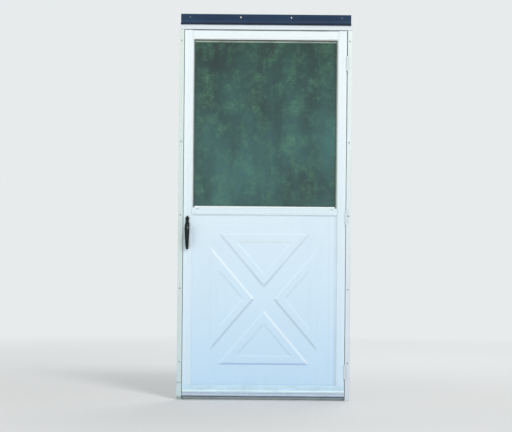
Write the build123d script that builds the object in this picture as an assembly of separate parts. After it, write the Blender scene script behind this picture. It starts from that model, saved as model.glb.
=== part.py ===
from build123d import *
import math
import os

# Crossbuck storm door, glazed above and panelled below, hung in its own aluminium frame.
# Millimetres. X runs along the door, Y into the house, Z up from the sill line.
# Depths are counted from the face that the frame's flanges lie on. The hinges are at +X.

# Frame
OPENING_WIDTH = 887.4
OPENING_HEIGHT = 2012.0
FRAME_WALL = 1.6
SIDE_FLANGE = 26.3
HEAD_FLANGE = 34.0
STOP_REACH = 16.7
FLANGE_BEAD_WIDTH = 2.0
FLANGE_BEAD_HEIGHT = 0.8
SCREW_GROOVE_DEPTH = 0.4
PILE_LIP_WIDTH = 1.0
PILE_LIP_HEIGHT = 1.0
PILE_BASE_WIDTH = 5.4
PILE_BASE_HEIGHT = 0.8
PILE_WIDTH = 3.6
PILE_GAP = 0.3
COPING_GAP = 0.3

# Flashing over the head
FLASHING_INSET = 7.5
FLASHING_HEIGHT = 58.0
FLASHING_TUCK = 26.0
FLASHING_PROJECTION = 4.0
FLASHING_DRIP = 9.0
FLASHING_SLOPE = 14.0
FLASHING_THICKNESS = 1.2
FLASHING_SCREW_DROP = 17.0
FLASHING_SCREW_INSET = 50.0
FLASHING_SCREW_COUNT = 4

# Screws through the flanges into the wall
WALL_SCREW_RADIUS = 2.1
WALL_SCREW_LENGTH = 25.0
RAIL_SCREW_INSET = 13.0
RAIL_SCREW_FIRST = 205.0
RAIL_SCREW_UPPER_DROP = 610.0
RAIL_SCREW_COUNT = 4
RAIL_SCREW_TOP_DROP = 60.0
PAN_HEAD_RADIUS = 4.2
PAN_HEAD_HEIGHT = 2.0
PAN_HEAD_ROUNDING = 0.6
SCREW_SHOULDER = 0.15
HOLE_FIT = 0.2
THREAD_FIT = 0.05

# Leaf
EDGE_GAP = 3.2
HEAD_GAP = 3.0
LEAF_PROUD = 4.0
LEAF_THICKNESS = 28.0
STOP_GAP = 3.0
LEAF_WALL = 1.5
STILE_WIDTH = 45.0
TOP_RAIL_HEIGHT = 46.0
LOCK_RAIL_HEIGHT = 34.0
LOCK_RAIL_BOTTOM = 1006.0
BOTTOM_RAIL_HEIGHT = 50.0
RIB_REACH = 4.0
RIB_THICKNESS = 1.5
RIB_RECESS = 3.0
EDGE_BEVEL = 2.0
EDGE_BEAD = 8.5
GROOVE_PITCH = 8.0
GROOVE_COUNT = 3
GROOVE_DEPTH = 0.6
GROOVE_HALF_WIDTH = 0.7
SCREW_BOSS_RADIUS = 4.0
CORNER_SCREW_DEPTH = 14.0
CORNER_SCREW_RADIUS = 2.0
CORNER_SCREW_HEAD = 3.4
CORNER_SCREW_LENGTH = 80.0

# Glazed insert
INSERT_WIDTH = 12.0
INSERT_DEPTH = 14.0
INSERT_BEVEL = 1.5
BAY_FIT = 0.3
GLASS_THICKNESS = 3.0
GLASS_BITE = 4.0
GASKET_WALL = 0.8
GASKET_LIP = 1.2
WEEP_LENGTH = 12.0
WEEP_HEIGHT = 2.4
WEEP_INSET = 31.0
WEEP_DROP = 3.5

# Kick panel
PANEL_THICKNESS = 19.0
SHEET_THICKNESS = 1.0
EMBOSS_HEIGHT = 3.5
EMBOSS_SLOPE = 11.0
FIELD_WIDTH = 581.0
FIELD_HEIGHT = 706.0
FIELD_RISE = 7.5
ARM_ANGLE = 49.7
ARM_WIDTH = 88.0
BAND_WIDTH = 43.0
OUTER_CORNER = 4.0
INNER_CORNER = 5.0
RETAINER_REACH = 9.0
RETAINER_WALL = 1.2

# Bottom expander and sweep
EXPANDER_BOTTOM = 21.0
EXPANDER_HEIGHT = 60.0
EXPANDER_WALL = 1.5
EXPANDER_FIT = 0.2
EXPANDER_RIDGE_UP = 26.0
EXPANDER_RIDGE = 2.2
EXPANDER_SCREW_UP = 16.0
EXPANDER_SCREW_INSET = 92.5
EXPANDER_SCREW_COUNT = 4
EXPANDER_SCREW_LENGTH = 12.0
LEAF_BOTTOM_GAP = 4.5
SWEEP_BASE = 2.0
SWEEP_FIN = 2.0
SWEEP_FIN_COUNT = 3
SWEEP_FIN_PITCH = 8.0
SWEEP_CLEAR = 3.0
SWEEP_END_GAP = 2.5

# Hinges
HINGE_RISE = 157.0
HINGE_TOP_DROP = 179.0
HINGE_NAMES = ("bottom", "middle", "top")
HINGE_HEIGHT = 76.0
HINGE_DEPTH = 29.0
HINGE_PLATE = 1.2
HINGE_PROUD = 5.3
KNUCKLE_RADIUS = 4.8
KNUCKLE_COUNT = 5
KNUCKLE_GAP = 0.4
KNUCKLE_NECK = 0.8
PIN_RADIUS = 2.4
PIN_FIT = 0.08
PIN_HEAD_RADIUS = 4.0
PIN_HEAD_HEIGHT = 2.4
HINGE_SCREW_DEPTH = 18.0
HINGE_SCREW_PITCH = 25.0
HINGE_SCREW_COUNT = 3
HINGE_SCREW_RADIUS = 1.8
HINGE_SCREW_HEAD = 3.3
HINGE_SCREW_LENGTH = 12.0

# Pull handle
HANDLE_INSET = 21.5
HANDLE_DROP = 190.0
HANDLE_LENGTH = 150.0
HANDLE_REACH = 42.0
HANDLE_FOOT = 6.0
HANDLE_WIDTH = 26.0
HANDLE_RIDGE = 3.0
HANDLE_TAPER = (
    (0.0, 0.32),
    (0.04, 0.5),
    (0.12, 0.6),
    (0.3, 0.78),
    (0.5, 0.92),
    (0.7, 1.0),
    (0.86, 0.96),
    (0.95, 0.84),
    (1.0, 0.7),
)
FINGER_DEPTH = 28.0
FINGER_LOW_FOOT = 26.0
FINGER_TOP_FOOT = 22.0
NECK_WIDTH = 16.0
NECK_DEPTH = 9.0
HANDLE_SCREW_RADIUS = 2.0
HANDLE_SCREW_BITE = 9.0
LOW_SCREW_UP = 13.0
TOP_SCREW_DOWN = 9.0

# Push button at the top of the handle
DIAMOND_RISE = 19.5
DIAMOND_WIDTH = 25.0
DIAMOND_HEIGHT = 28.0
DIAMOND_DEPTH = 12.0
DIAMOND_TAPER = 8.0
DIAMOND_WALL = 4.0
BUTTON_FIT = 0.35
BUTTON_TRAVEL = 5.0
BUTTON_STOP_GAP = 0.6
BUTTON_CROWN = 5.5
BUTTON_TAPER = 38.0
PLUNGER_RADIUS = 2.5
PLUNGER_FIT = 0.5
PLUNGER_PROUD = 1.2

# Latch on the inside
CASE_STOP_GAP = 2.5
CASE_WIDTH = 40.5
CASE_BELOW = 40.0
CASE_ABOVE = 36.0
CASE_DEPTH = 21.0
CASE_WALL = 1.5
CASE_CORNER = 5.0
CASE_EDGE = 1.0
CASE_SCREW_RISE = 30.0
BOLT_REACH = 12.5
BOLT_DEPTH = 7.0
BOLT_HEIGHT = 20.0
BOLT_SETBACK = 1.0
BOLT_NOSE = 5.5
BOLT_TAIL = 3.5
BOLT_FIT = 0.3
STRIKE_THICKNESS = 1.6
STRIKE_HEIGHT = 60.0
STRIKE_MARGIN = 1.5
STRIKE_SCREW_PITCH = 44.0
SMALL_SCREW_RADIUS = 1.6
SMALL_HEAD_RADIUS = 3.0
SMALL_HEAD_HEIGHT = 1.4
HUB_DROP = 14.5
HUB_INSET = 19.5
CAM_RADIUS = 19.2
CAM_TIP = 2.5
CAM_NECK = 3.0
CAM_FIT = 0.5
CAM_FLARE = 7.8
SHAFT_RADIUS = 4.0
SHAFT_FIT = 0.08
LEVER_GAP = 0.3
LEVER_HUB = 8.0
LEVER_STANDOFF = 6.0
LEVER_LENGTH = 60.0
LEVER_TIP = 5.5
LEVER_THICKNESS = 6.0
LEVER_EDGE = 1.5
SPRING_WIRE = 0.4
SPRING_PITCH = 1.1
SPRING_TURNS = 3
SPRING_GAP = 0.5
SNIB_RISE = 17.0
SNIB_TRAVEL = 7.0
SNIB_NECK_WIDTH = 3.4
SNIB_NECK_HEIGHT = 5.0
SNIB_KNOB = 8.0
SNIB_KNOB_DEPTH = 4.0
SNIB_PLATE = 1.4
SNIB_FIT = 0.3

# Closer on the inside, at the height of the lock rail
CLOSER_OFFSET = 55.0
CLOSER_REACH = 345.0
TUBE_RADIUS = 14.0
TUBE_WALL = 1.2
TUBE_START = 24.0
TUBE_LENGTH = 206.0
TUBE_NOSE = 6.0
TUBE_NOSE_RADIUS = 9.0
TUBE_PLUG = 10.0
ROD_RADIUS = 4.0
ROD_FIT = 0.3
PISTON_SETBACK = 46.0
PISTON_LENGTH = 12.0
PISTON_FIT = 0.4
EYE_RADIUS = 7.5
EYE_THICKNESS = 5.0
EYE_SHANK = 12.0
CLOSER_PIN_RADIUS = 3.0
CLOSER_PIN_FIT = 0.08
CLOSER_PIN_HEAD = 5.0
CLOSER_PIN_HEAD_HEIGHT = 2.0
BRACKET_THICKNESS = 2.5
BRACKET_GAP = 0.3
BRACKET_END = 9.0
BRACKET_ROOT = 6.0
DOOR_FOOT_WIDTH = 46.0
DOOR_FOOT_HEIGHT = 30.0
DOOR_FOOT_SCREW_RISE = 8.0
DOOR_FOOT_SCREW_PITCH = 32.0
BRACKET_SCREW_BITE = 8.0
JAMB_FOOT_WIDTH = 16.0
JAMB_FOOT_HEIGHT = 46.0
JAMB_FOOT_SCREW_PITCH = 32.0
JAMB_FOOT_SCREW_EDGE = 6.0
WASHER_RADIUS = 8.0
WASHER_THICKNESS = 2.0
WASHER_START = 14.0
WASHER_FIT = 0.2

# Places that follow from the sizes above
half_opening = OPENING_WIDTH / 2
half_frame = half_opening + SIDE_FLANGE
leaf_half = half_opening - EDGE_GAP
leaf_front = -LEAF_PROUD
leaf_back = leaf_front + LEAF_THICKNESS
leaf_top = OPENING_HEIGHT - HEAD_GAP
leaf_bottom = EXPANDER_BOTTOM + EXPANDER_WALL + LEAF_BOTTOM_GAP
stop_front = leaf_back + STOP_GAP
stop_back = stop_front + FRAME_WALL
bay_half = leaf_half - STILE_WIDTH
glass_bay = (LOCK_RAIL_BOTTOM + LOCK_RAIL_HEIGHT, leaf_top - TOP_RAIL_HEIGHT)
panel_bay = (leaf_bottom + BOTTOM_RAIL_HEIGHT, LOCK_RAIL_BOTTOM)
field_centre = (panel_bay[0] + panel_bay[1]) / 2 + FIELD_RISE
rib_front = leaf_front + RIB_RECESS
rib_back = rib_front + RIB_THICKNESS
panel_back = rib_back + PANEL_THICKNESS
insert_back = rib_back + INSERT_DEPTH
glass_front = rib_back + (INSERT_DEPTH - GLASS_THICKNESS) / 2
glass_back = glass_front + GLASS_THICKNESS
expander_top = EXPANDER_BOTTOM + EXPANDER_HEIGHT
expander_front = leaf_front - EXPANDER_FIT
expander_back = leaf_back + EXPANDER_FIT
flashing_half = half_frame - FLASHING_INSET
flashing_bottom = OPENING_HEIGHT + FLASHING_TUCK
flashing_top = flashing_bottom + FLASHING_HEIGHT
hinge_x = leaf_half + EDGE_GAP / 2
hinge_y = leaf_front - HINGE_PROUD
handle_x = HANDLE_INSET - leaf_half
handle_bottom = LOCK_RAIL_BOTTOM - HANDLE_DROP
handle_top = handle_bottom + HANDLE_LENGTH
latch_z = handle_top + DIAMOND_RISE
case_left = STOP_REACH - half_opening + CASE_STOP_GAP
case_right = case_left + CASE_WIDTH
case_bottom = latch_z - CASE_BELOW
case_top = latch_z + CASE_ABOVE
case_back = leaf_back + CASE_DEPTH
case_inner = case_back - CASE_WALL
bolt_front = stop_back + STRIKE_THICKNESS + BOLT_SETBACK
bolt_back = bolt_front + BOLT_DEPTH
bolt_bottom = latch_z - BOLT_HEIGHT / 2
hub_x = case_left + HUB_INSET
hub_z = latch_z - HUB_DROP
snib_z = latch_z + SNIB_RISE
closer_z = LOCK_RAIL_BOTTOM + LOCK_RAIL_HEIGHT / 2
closer_y = hinge_y + CLOSER_OFFSET
jamb_pivot_x = hinge_x - CLOSER_OFFSET
door_pivot_x = hinge_x - CLOSER_REACH
tongue_top = closer_z - EYE_THICKNESS / 2 - BRACKET_GAP
tongue_bottom = tongue_top - BRACKET_THICKNESS


# Shapes used throughout

# A closed outline on a plane, pushed out along the plane's normal.
def prism(plane, points, length):
    return extrude(plane * make_face(Polyline(*points, close=True)), length)


def block(x_span, y_span, z_span):
    spans = (x_span, y_span, z_span)
    middle = [(high + low) / 2 for low, high in spans]
    return Pos(*middle) * Box(*[high - low for low, high in spans])


def bar_x(y, z, radius, start, end):
    return extrude(Plane.YZ.offset(start) * Pos(y, z) * Circle(radius), end - start)


def bar_y(x, z, radius, start, end):
    return extrude(Plane.XZ.offset(-end) * Pos(x, z) * Circle(radius), end - start)


def bar_z(x, y, radius, start, end):
    return extrude(Plane.XY.offset(start) * Pos(x, y) * Circle(radius), end - start)


# Outline of a tapered strut with round ends.
def strut(start, start_radius, end, end_radius):
    low = Pos(*start) * Circle(start_radius)
    high = Pos(*end) * Circle(end_radius)
    return make_hull(low.edges() + high.edges())


# A screw with a rounded head standing on z = 0 and its shank below. The plain shoulder under
# the head fills the sheet that it holds.
def pan_screw(radius, length, shoulder, head_radius=PAN_HEAD_RADIUS, head_height=PAN_HEAD_HEIGHT):
    round_off = head_height * PAN_HEAD_ROUNDING
    outline = [
        (0, head_height),
        (0, -length),
        (radius, -length),
        (radius, -shoulder),
        (radius + SCREW_SHOULDER, -shoulder),
        (radius + SCREW_SHOULDER, 0),
        (head_radius, 0),
        (head_radius, head_height - round_off),
        (head_radius - round_off, head_height),
    ]
    return revolve(Plane.XZ * make_face(Polyline(*outline, close=True)), Axis.Z)


# A countersunk screw whose head is level with z = 0.
def flush_screw(radius, length, head_radius, head_height):
    outline = Polyline(
        (0, 0),
        (head_radius, 0),
        (radius, -head_height),
        (radius, -length),
        (0, -length),
        close=True,
    )
    return revolve(Plane.XZ * make_face(outline), Axis.Z)


# Turns a screw that stands on z = 0 so that it is driven in the given direction.
def driven(screw, place, direction):
    return Plane(origin=place, z_dir=-Vector(*direction)) * screw


def small_clearance():
    return SMALL_SCREW_RADIUS + SCREW_SHOULDER + HOLE_FIT


def handle_clearance():
    return HANDLE_SCREW_RADIUS + SCREW_SHOULDER + HOLE_FIT


def wall_clearance():
    return WALL_SCREW_RADIUS + SCREW_SHOULDER + HOLE_FIT


def evenly(count, pitch, middle=0.0):
    return [middle + pitch * (index - (count - 1) / 2) for index in range(count)]


def between(count, first, last):
    return [first + (last - first) * index / (count - 1) for index in range(count)]


def joined(shapes):
    whole = shapes[0]
    for shape in shapes[1:]:
        whole = whole + shape
    return whole


def without(shape, cutters):
    for cutter in cutters:
        shape = shape - cutter
    return shape


def other_hand(shape):
    return mirror(shape, about=Plane.YZ)


# Section of the frame bars: flange on the wall, web beside the leaf, stop behind it.
# Points are (outwards from the web's inner face, depth).
def frame_bar_points(flange):
    lip_front = stop_front - PILE_LIP_HEIGHT
    channel = PILE_LIP_WIDTH - STOP_REACH
    channel_end = channel + PILE_BASE_WIDTH + PILE_GAP
    bead = flange - FLANGE_BEAD_WIDTH
    groove = RAIL_SCREW_INSET
    return [
        (flange, 0),
        (FRAME_WALL, 0),
        (FRAME_WALL, stop_back),
        (-STOP_REACH, stop_back),
        (-STOP_REACH, lip_front),
        (channel, lip_front),
        (channel, stop_front),
        (channel_end, stop_front),
        (channel_end, lip_front),
        (channel_end + PILE_LIP_WIDTH, lip_front),
        (channel_end + PILE_LIP_WIDTH, stop_front),
        (0, stop_front),
        (0, -FRAME_WALL),
        (groove - SCREW_GROOVE_DEPTH, -FRAME_WALL),
        (groove, SCREW_GROOVE_DEPTH - FRAME_WALL),
        (groove + SCREW_GROOVE_DEPTH, -FRAME_WALL),
        (bead, -FRAME_WALL),
        (bead, -FRAME_WALL - FLANGE_BEAD_HEIGHT),
        (flange, -FRAME_WALL - FLANGE_BEAD_HEIGHT),
    ]


def rail_screw_heights():
    even = between(RAIL_SCREW_COUNT, RAIL_SCREW_FIRST, OPENING_HEIGHT - RAIL_SCREW_UPPER_DROP)
    return even + [OPENING_HEIGHT - RAIL_SCREW_TOP_DROP]


def side_rail():
    section = [(half_opening + out, depth) for out, depth in frame_bar_points(SIDE_FLANGE)]
    rail = prism(Plane.XY, section, OPENING_HEIGHT)
    x = half_opening + RAIL_SCREW_INSET
    return without(rail, [bar_y(x, z, wall_clearance(), -FRAME_WALL, 0) for z in rail_screw_heights()])


def hinge_rail():
    radius = HINGE_SCREW_RADIUS + HOLE_FIT
    y = hinge_y + HINGE_SCREW_DEPTH
    web = (half_opening, half_opening + FRAME_WALL)
    holes = [bar_x(y, z, radius, *web) for z in hinge_screw_heights()]
    radius = SMALL_SCREW_RADIUS + THREAD_FIT
    x = jamb_screw_x()
    holes += [bar_y(x, z, radius, stop_front, stop_back) for z in jamb_screw_heights()]
    return without(side_rail(), holes)


def latch_rail():
    radius = SMALL_SCREW_RADIUS + THREAD_FIT
    spots = [bar_y(strike_x(), z, radius, stop_front, stop_back) for z in strike_screw_heights()]
    return without(other_hand(side_rail()), spots)


# The head bar is coped: its web stops at the side webs and its stop between the side stops.
def head_rail():
    section = [(depth, OPENING_HEIGHT + out) for out, depth in frame_bar_points(HEAD_FLANGE)]
    rail = prism(Plane.YZ.offset(-half_frame), section, 2 * half_frame)
    deep = (0, stop_back)
    low = OPENING_HEIGHT - STOP_REACH
    past_web = block((half_opening + FRAME_WALL, half_frame), deep, (low, OPENING_HEIGHT + FRAME_WALL))
    stop_half = half_opening - STOP_REACH - COPING_GAP
    past_stop = block((stop_half, half_frame), deep, (low, OPENING_HEIGHT))
    return without(rail, [past_web, past_stop, other_hand(past_web), other_hand(past_stop)])


# Brush strip in the channel of a stop, as (across the stop, depth).
def pile_points():
    start = PILE_LIP_WIDTH - STOP_REACH + PILE_GAP / 2
    inset = (PILE_BASE_WIDTH - PILE_WIDTH) / 2
    base_front = stop_front - PILE_BASE_HEIGHT
    tip = leaf_back + PILE_GAP
    return [
        (start, stop_front),
        (start, base_front),
        (start + inset, base_front),
        (start + inset, tip),
        (start + inset + PILE_WIDTH, tip),
        (start + inset + PILE_WIDTH, base_front),
        (start + PILE_BASE_WIDTH, base_front),
        (start + PILE_BASE_WIDTH, stop_front),
    ]


def pile_strips():
    section = [(half_opening + out, depth) for out, depth in pile_points()]
    start = expander_top + PILE_BASE_WIDTH
    side = prism(Plane.XY.offset(start), section, leaf_top - start)
    section = [(depth, OPENING_HEIGHT + out) for out, depth in pile_points()]
    reach = half_opening - STOP_REACH - COPING_GAP
    head = prism(Plane.YZ.offset(-reach), section, 2 * reach)
    return Compound([side, other_hand(side), head])


# Its lower edge turns back under the drip and bears on the head bar's flange.
def head_flashing():
    slope_top = flashing_bottom + FLASHING_DRIP + FLASHING_SLOPE
    slope_bottom = flashing_bottom + FLASHING_DRIP
    wall = FLASHING_THICKNESS
    out = -FLASHING_PROJECTION
    outline = [
        (0, flashing_top),
        (0, slope_top),
        (out, slope_bottom),
        (out, flashing_bottom + wall),
        (-FRAME_WALL, flashing_bottom + wall),
        (-FRAME_WALL, flashing_bottom),
        (out - wall, flashing_bottom),
        (out - wall, slope_bottom + wall / 2),
        (-wall, slope_top + wall / 2),
        (-wall, flashing_top),
    ]
    sheet = prism(Plane.YZ.offset(-flashing_half), outline, 2 * flashing_half)
    holes = [bar_y(x, flashing_screw_z(), wall_clearance(), -wall, 0) for x in flashing_screw_places()]
    return without(sheet, holes)


def flashing_screw_z():
    return flashing_top - FLASHING_SCREW_DROP


def flashing_screw_places():
    end = flashing_half - FLASHING_SCREW_INSET
    return between(FLASHING_SCREW_COUNT, -end, end)


def flashing_screws():
    length = FLASHING_THICKNESS + WALL_SCREW_LENGTH
    screw = pan_screw(WALL_SCREW_RADIUS, length, FLASHING_THICKNESS)
    y = -FLASHING_THICKNESS
    return Compound([driven(screw, (x, y, flashing_screw_z()), (0, 1, 0)) for x in flashing_screw_places()])


def rail_screws():
    screw = pan_screw(WALL_SCREW_RADIUS, FRAME_WALL + WALL_SCREW_LENGTH, FRAME_WALL)
    x = half_opening + RAIL_SCREW_INSET
    places = [(side * x, -FRAME_WALL, z) for side in (-1, 1) for z in rail_screw_heights()]
    return Compound([driven(screw, place, (0, 1, 0)) for place in places])


# Leaf

# One long edge of a leaf bar, from its back to its front, as (across the bar, depth).
# Towards a bay the edge has a bevel, and a rib where one is asked for.
def bar_edge(at, outward, towards_bay, rib):
    points = [(at, leaf_back)]
    if rib:
        points += [(at, rib_back), (at + outward * RIB_REACH, rib_back)]
        points += [(at + outward * RIB_REACH, rib_front), (at, rib_front)]
    if towards_bay:
        return points + [(at, leaf_front + EDGE_BEVEL), (at - outward * EDGE_BEVEL, leaf_front)]
    return points + [(at, leaf_front)]


def bar_hollow(width):
    front = leaf_front + LEAF_WALL
    back = leaf_back - LEAF_WALL
    return [(LEAF_WALL, front), (width - LEAF_WALL, front), (width - LEAF_WALL, back), (LEAF_WALL, back)]


def groove_points(at):
    return [
        (at - GROOVE_HALF_WIDTH, leaf_front),
        (at, leaf_front + GROOVE_DEPTH),
        (at + GROOVE_HALF_WIDTH, leaf_front),
    ]


# Extruded hollow stile on the hinge side, ribbed along both bays.
def plain_stile():
    outline = bar_edge(0, -1, False, False) + bar_edge(STILE_WIDTH, 1, True, False)[::-1]
    grooves = [STILE_WIDTH - EDGE_BEAD - GROOVE_PITCH * index for index in range(GROOVE_COUNT)]
    height = leaf_top - leaf_bottom
    cuts = []
    for points in [bar_hollow(STILE_WIDTH)] + [groove_points(at) for at in grooves]:
        cuts.append(prism(Plane.XY.offset(leaf_bottom), [(leaf_half - at, y) for at, y in points], height))
    stile = prism(Plane.XY.offset(leaf_bottom), [(leaf_half - at, y) for at, y in outline], height)
    ribs = []
    for low, high in (panel_bay, glass_bay):
        across = (bay_half - RIB_REACH, bay_half)
        ribs.append(block(across, (rib_front, rib_back), (low + RIB_REACH, high - RIB_REACH)))
    return joined([without(stile, cuts)] + ribs)


def corner_screw_heights():
    rise = LEAF_WALL + SCREW_BOSS_RADIUS - 0.5
    heights = []
    for low, high in rail_spans():
        heights += [low + rise, high - rise]
    return heights


def rail_spans():
    return [
        (leaf_bottom, panel_bay[0]),
        (panel_bay[1], glass_bay[0]),
        (glass_bay[1], leaf_top),
    ]


def corner_screw_y():
    return leaf_front + CORNER_SCREW_DEPTH


def corner_screw_holes():
    screw = flush_screw(
        CORNER_SCREW_RADIUS + HOLE_FIT, CORNER_SCREW_LENGTH, CORNER_SCREW_HEAD + HOLE_FIT, LEAF_WALL
    )
    return [driven(screw, (leaf_half, corner_screw_y(), z), (-1, 0, 0)) for z in corner_screw_heights()]


def corner_screws():
    screw = flush_screw(CORNER_SCREW_RADIUS, CORNER_SCREW_LENGTH, CORNER_SCREW_HEAD, LEAF_WALL)
    side = [driven(screw, (leaf_half, corner_screw_y(), z), (-1, 0, 0)) for z in corner_screw_heights()]
    return Compound(side + [other_hand(shape) for shape in side])


def hinge_stile():
    y = hinge_y + HINGE_SCREW_DEPTH
    wall = (leaf_half - LEAF_WALL, leaf_half)
    radius = HINGE_SCREW_RADIUS + THREAD_FIT
    holes = [bar_x(y, z, radius, *wall) for z in hinge_screw_heights()]
    return without(plain_stile(), corner_screw_holes() + holes)


def latch_stile():
    stile = without(plain_stile(), corner_screw_holes())
    through = (leaf_front, leaf_back)
    holes = [bar_y(handle_x, latch_z, PLUNGER_RADIUS + PLUNGER_FIT, *through)]
    holes += [bar_y(handle_x, z, handle_clearance(), *through) for z in handle_screw_heights()]
    skin = (leaf_back - LEAF_WALL, leaf_back)
    holes.append(bar_y(handle_x, case_screw_z(), HANDLE_SCREW_RADIUS + THREAD_FIT, *skin))
    return without(other_hand(stile), holes)


# Extruded hollow rail between the stiles, with a boss for each corner screw.
def plain_rail(span, bay_below, bay_above):
    low, high = span
    width = high - low
    outline = bar_edge(0, -1, bay_below, bay_below) + bar_edge(width, 1, bay_above, bay_above)[::-1]
    plane = Plane.YZ.offset(-bay_half)
    cuts = [prism(plane, [(y, low + at) for at, y in bar_hollow(width)], 2 * bay_half)]
    grooves = [EDGE_BEAD] * bay_below + [width - EDGE_BEAD] * bay_above
    cuts += [prism(plane, [(y, low + at) for at, y in groove_points(at)], 2 * bay_half) for at in grooves]
    rail = without(prism(plane, [(y, low + at) for at, y in outline], 2 * bay_half), cuts)
    heights = [z for z in corner_screw_heights() if low < z < high]
    y = corner_screw_y()
    bosses = [bar_x(y, z, SCREW_BOSS_RADIUS, -bay_half, bay_half) for z in heights]
    rail = joined([rail] + bosses)
    bores = [bar_x(y, z, CORNER_SCREW_RADIUS + THREAD_FIT, -bay_half, bay_half) for z in heights]
    return without(rail, bores)


def top_rail():
    return plain_rail(rail_spans()[2], True, False)


# The slots drain the glass bay, and the two holes on the inside take the closer's bracket.
def lock_rail():
    z = glass_bay[0] - WEEP_DROP
    skin = (leaf_front, leaf_front + LEAF_WALL)
    slots = []
    for x in evenly(2, 2 * (bay_half - WEEP_INSET)):
        across = (x - WEEP_LENGTH / 2, x + WEEP_LENGTH / 2)
        slots.append(block(across, skin, (z - WEEP_HEIGHT / 2, z + WEEP_HEIGHT / 2)))
    inner = (leaf_back - LEAF_WALL, leaf_back)
    radius = SMALL_SCREW_RADIUS + THREAD_FIT
    holes = [bar_y(x, door_screw_z(), radius, *inner) for x in door_screw_places()]
    return without(plain_rail(rail_spans()[1], True, True), slots + holes)


def bottom_rail():
    rail = plain_rail(rail_spans()[0], False, True)
    radius = SMALL_SCREW_RADIUS + THREAD_FIT
    skin = (leaf_front, leaf_front + LEAF_WALL)
    return without(rail, [bar_y(x, expander_screw_z(), radius, *skin) for x in expander_screw_places()])


# Kick panel

# The four triangles left between the arms of the cross, as corner lists.
def field_triangles():
    angle = math.radians(ARM_ANGLE)
    half_width = FIELD_WIDTH / 2
    half_height = FIELD_HEIGHT / 2
    upper = ARM_WIDTH / 2 / math.cos(angle)
    inner = ARM_WIDTH / 2 / math.sin(angle)
    top_half = (half_height - upper) / math.tan(angle)
    side_half = (half_width - inner) * math.tan(angle)
    top = [(-top_half, half_height), (top_half, half_height), (0, upper)]
    right = [(half_width, side_half), (half_width, -side_half), (inner, 0)]
    bottom = [(x, -z) for x, z in top]
    left = [(-x, z) for x, z in right]
    return [top, right, bottom, left]


# A triangle's outline drawn in by the given distance, with round corners.
def drawn_in(corners, distance, radius):
    shape = offset(make_face(Polyline(*corners, close=True)), -distance, kind=Kind.INTERSECTION)
    return fillet(shape.vertices(), radius)


# One triangular band. Its sides slope from the sheet to a flat crown, and the triangle's
# outline and the band's width are taken at the middle of the slopes.
def raised_band(corners):
    half_slope = EMBOSS_SLOPE / 2
    base = Plane.XZ.offset(-rib_back) * Pos(0, field_centre)
    crown = Plane.XZ.offset(EMBOSS_HEIGHT - rib_back) * Pos(0, field_centre)
    foot = base * drawn_in(corners, -half_slope, OUTER_CORNER)
    top = crown * drawn_in(corners, half_slope, OUTER_CORNER)
    inner_foot = base * drawn_in(corners, BAND_WIDTH + half_slope, INNER_CORNER)
    inner_top = crown * drawn_in(corners, BAND_WIDTH - half_slope, INNER_CORNER)
    return loft([foot, top], ruled=True) - loft([inner_foot, inner_top], ruled=True)


# Pressed sheet: the bands rise in front and are hollow behind.
def kick_panel_face():
    half = bay_half - BAY_FIT
    high = (panel_bay[0] + BAY_FIT, panel_bay[1] - BAY_FIT)
    sheet = block((-half, half), (rib_back, rib_back + SHEET_THICKNESS), high)
    bands = joined([raised_band(corners) for corners in field_triangles()])
    return sheet + bands - Pos(0, SHEET_THICKNESS, 0) * bands


def kick_panel_back():
    middle = (rib_back + panel_back) / 2
    return mirror(kick_panel_face(), about=Plane.XZ.offset(-middle))


def kick_panel_core():
    half = bay_half - BAY_FIT
    deep = (rib_back + SHEET_THICKNESS, panel_back - SHEET_THICKNESS)
    return block((-half, half), deep, (panel_bay[0] + BAY_FIT, panel_bay[1] - BAY_FIT))


# Four straight strips around a bay, all of one section. Points are (in from the bay's
# edge, depth); the upright strips run the full height and the others fit between them.
def bay_strips(bay, points, depth_across):
    low, high = bay
    upright = [(bay_half - across, depth) for across, depth in points]
    right = prism(Plane.XY.offset(low + BAY_FIT), upright, high - low - 2 * BAY_FIT)
    reach = bay_half - depth_across
    below = [(depth, low + across) for across, depth in points]
    above = [(depth, high - across) for across, depth in points]
    bottom = prism(Plane.YZ.offset(-reach), below, 2 * reach)
    top = prism(Plane.YZ.offset(-reach), above, 2 * reach)
    return [other_hand(right), right, top, bottom]


def retainer_points(front):
    return [
        (BAY_FIT, leaf_back),
        (BAY_FIT, front),
        (RETAINER_REACH, front),
        (RETAINER_REACH, front + RETAINER_WALL),
        (BAY_FIT + RETAINER_WALL, front + RETAINER_WALL),
        (BAY_FIT + RETAINER_WALL, leaf_back),
    ]


def panel_retainers():
    return Compound(bay_strips(panel_bay, retainer_points(panel_back), RETAINER_REACH))


def insert_retainers():
    return Compound(bay_strips(glass_bay, retainer_points(insert_back), RETAINER_REACH))


# Glazed insert
def insert_points():
    bottom_of_groove = INSERT_WIDTH - GLASS_BITE - GASKET_WALL
    return [
        (BAY_FIT, rib_back),
        (INSERT_WIDTH - INSERT_BEVEL, rib_back),
        (INSERT_WIDTH, rib_back + INSERT_BEVEL),
        (INSERT_WIDTH, glass_front - GASKET_WALL),
        (bottom_of_groove, glass_front - GASKET_WALL),
        (bottom_of_groove, glass_back + GASKET_WALL),
        (INSERT_WIDTH, glass_back + GASKET_WALL),
        (INSERT_WIDTH, insert_back),
        (BAY_FIT, insert_back),
    ]


# A flat ring or plate in the glass bay, given its distances in from the bay's edges.
def bay_plate(inset, deep):
    half = bay_half - inset
    return block((-half, half), deep, (glass_bay[0] + inset, glass_bay[1] - inset))


def glass_pane():
    return bay_plate(INSERT_WIDTH - GLASS_BITE, (glass_front, glass_back))


def glazing_gasket():
    deep = (glass_front - GASKET_WALL, glass_back + GASKET_WALL)
    ring = bay_plate(INSERT_WIDTH - GLASS_BITE - GASKET_WALL, deep)
    return ring - bay_plate(INSERT_WIDTH + GASKET_LIP, deep) - glass_pane()


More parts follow.
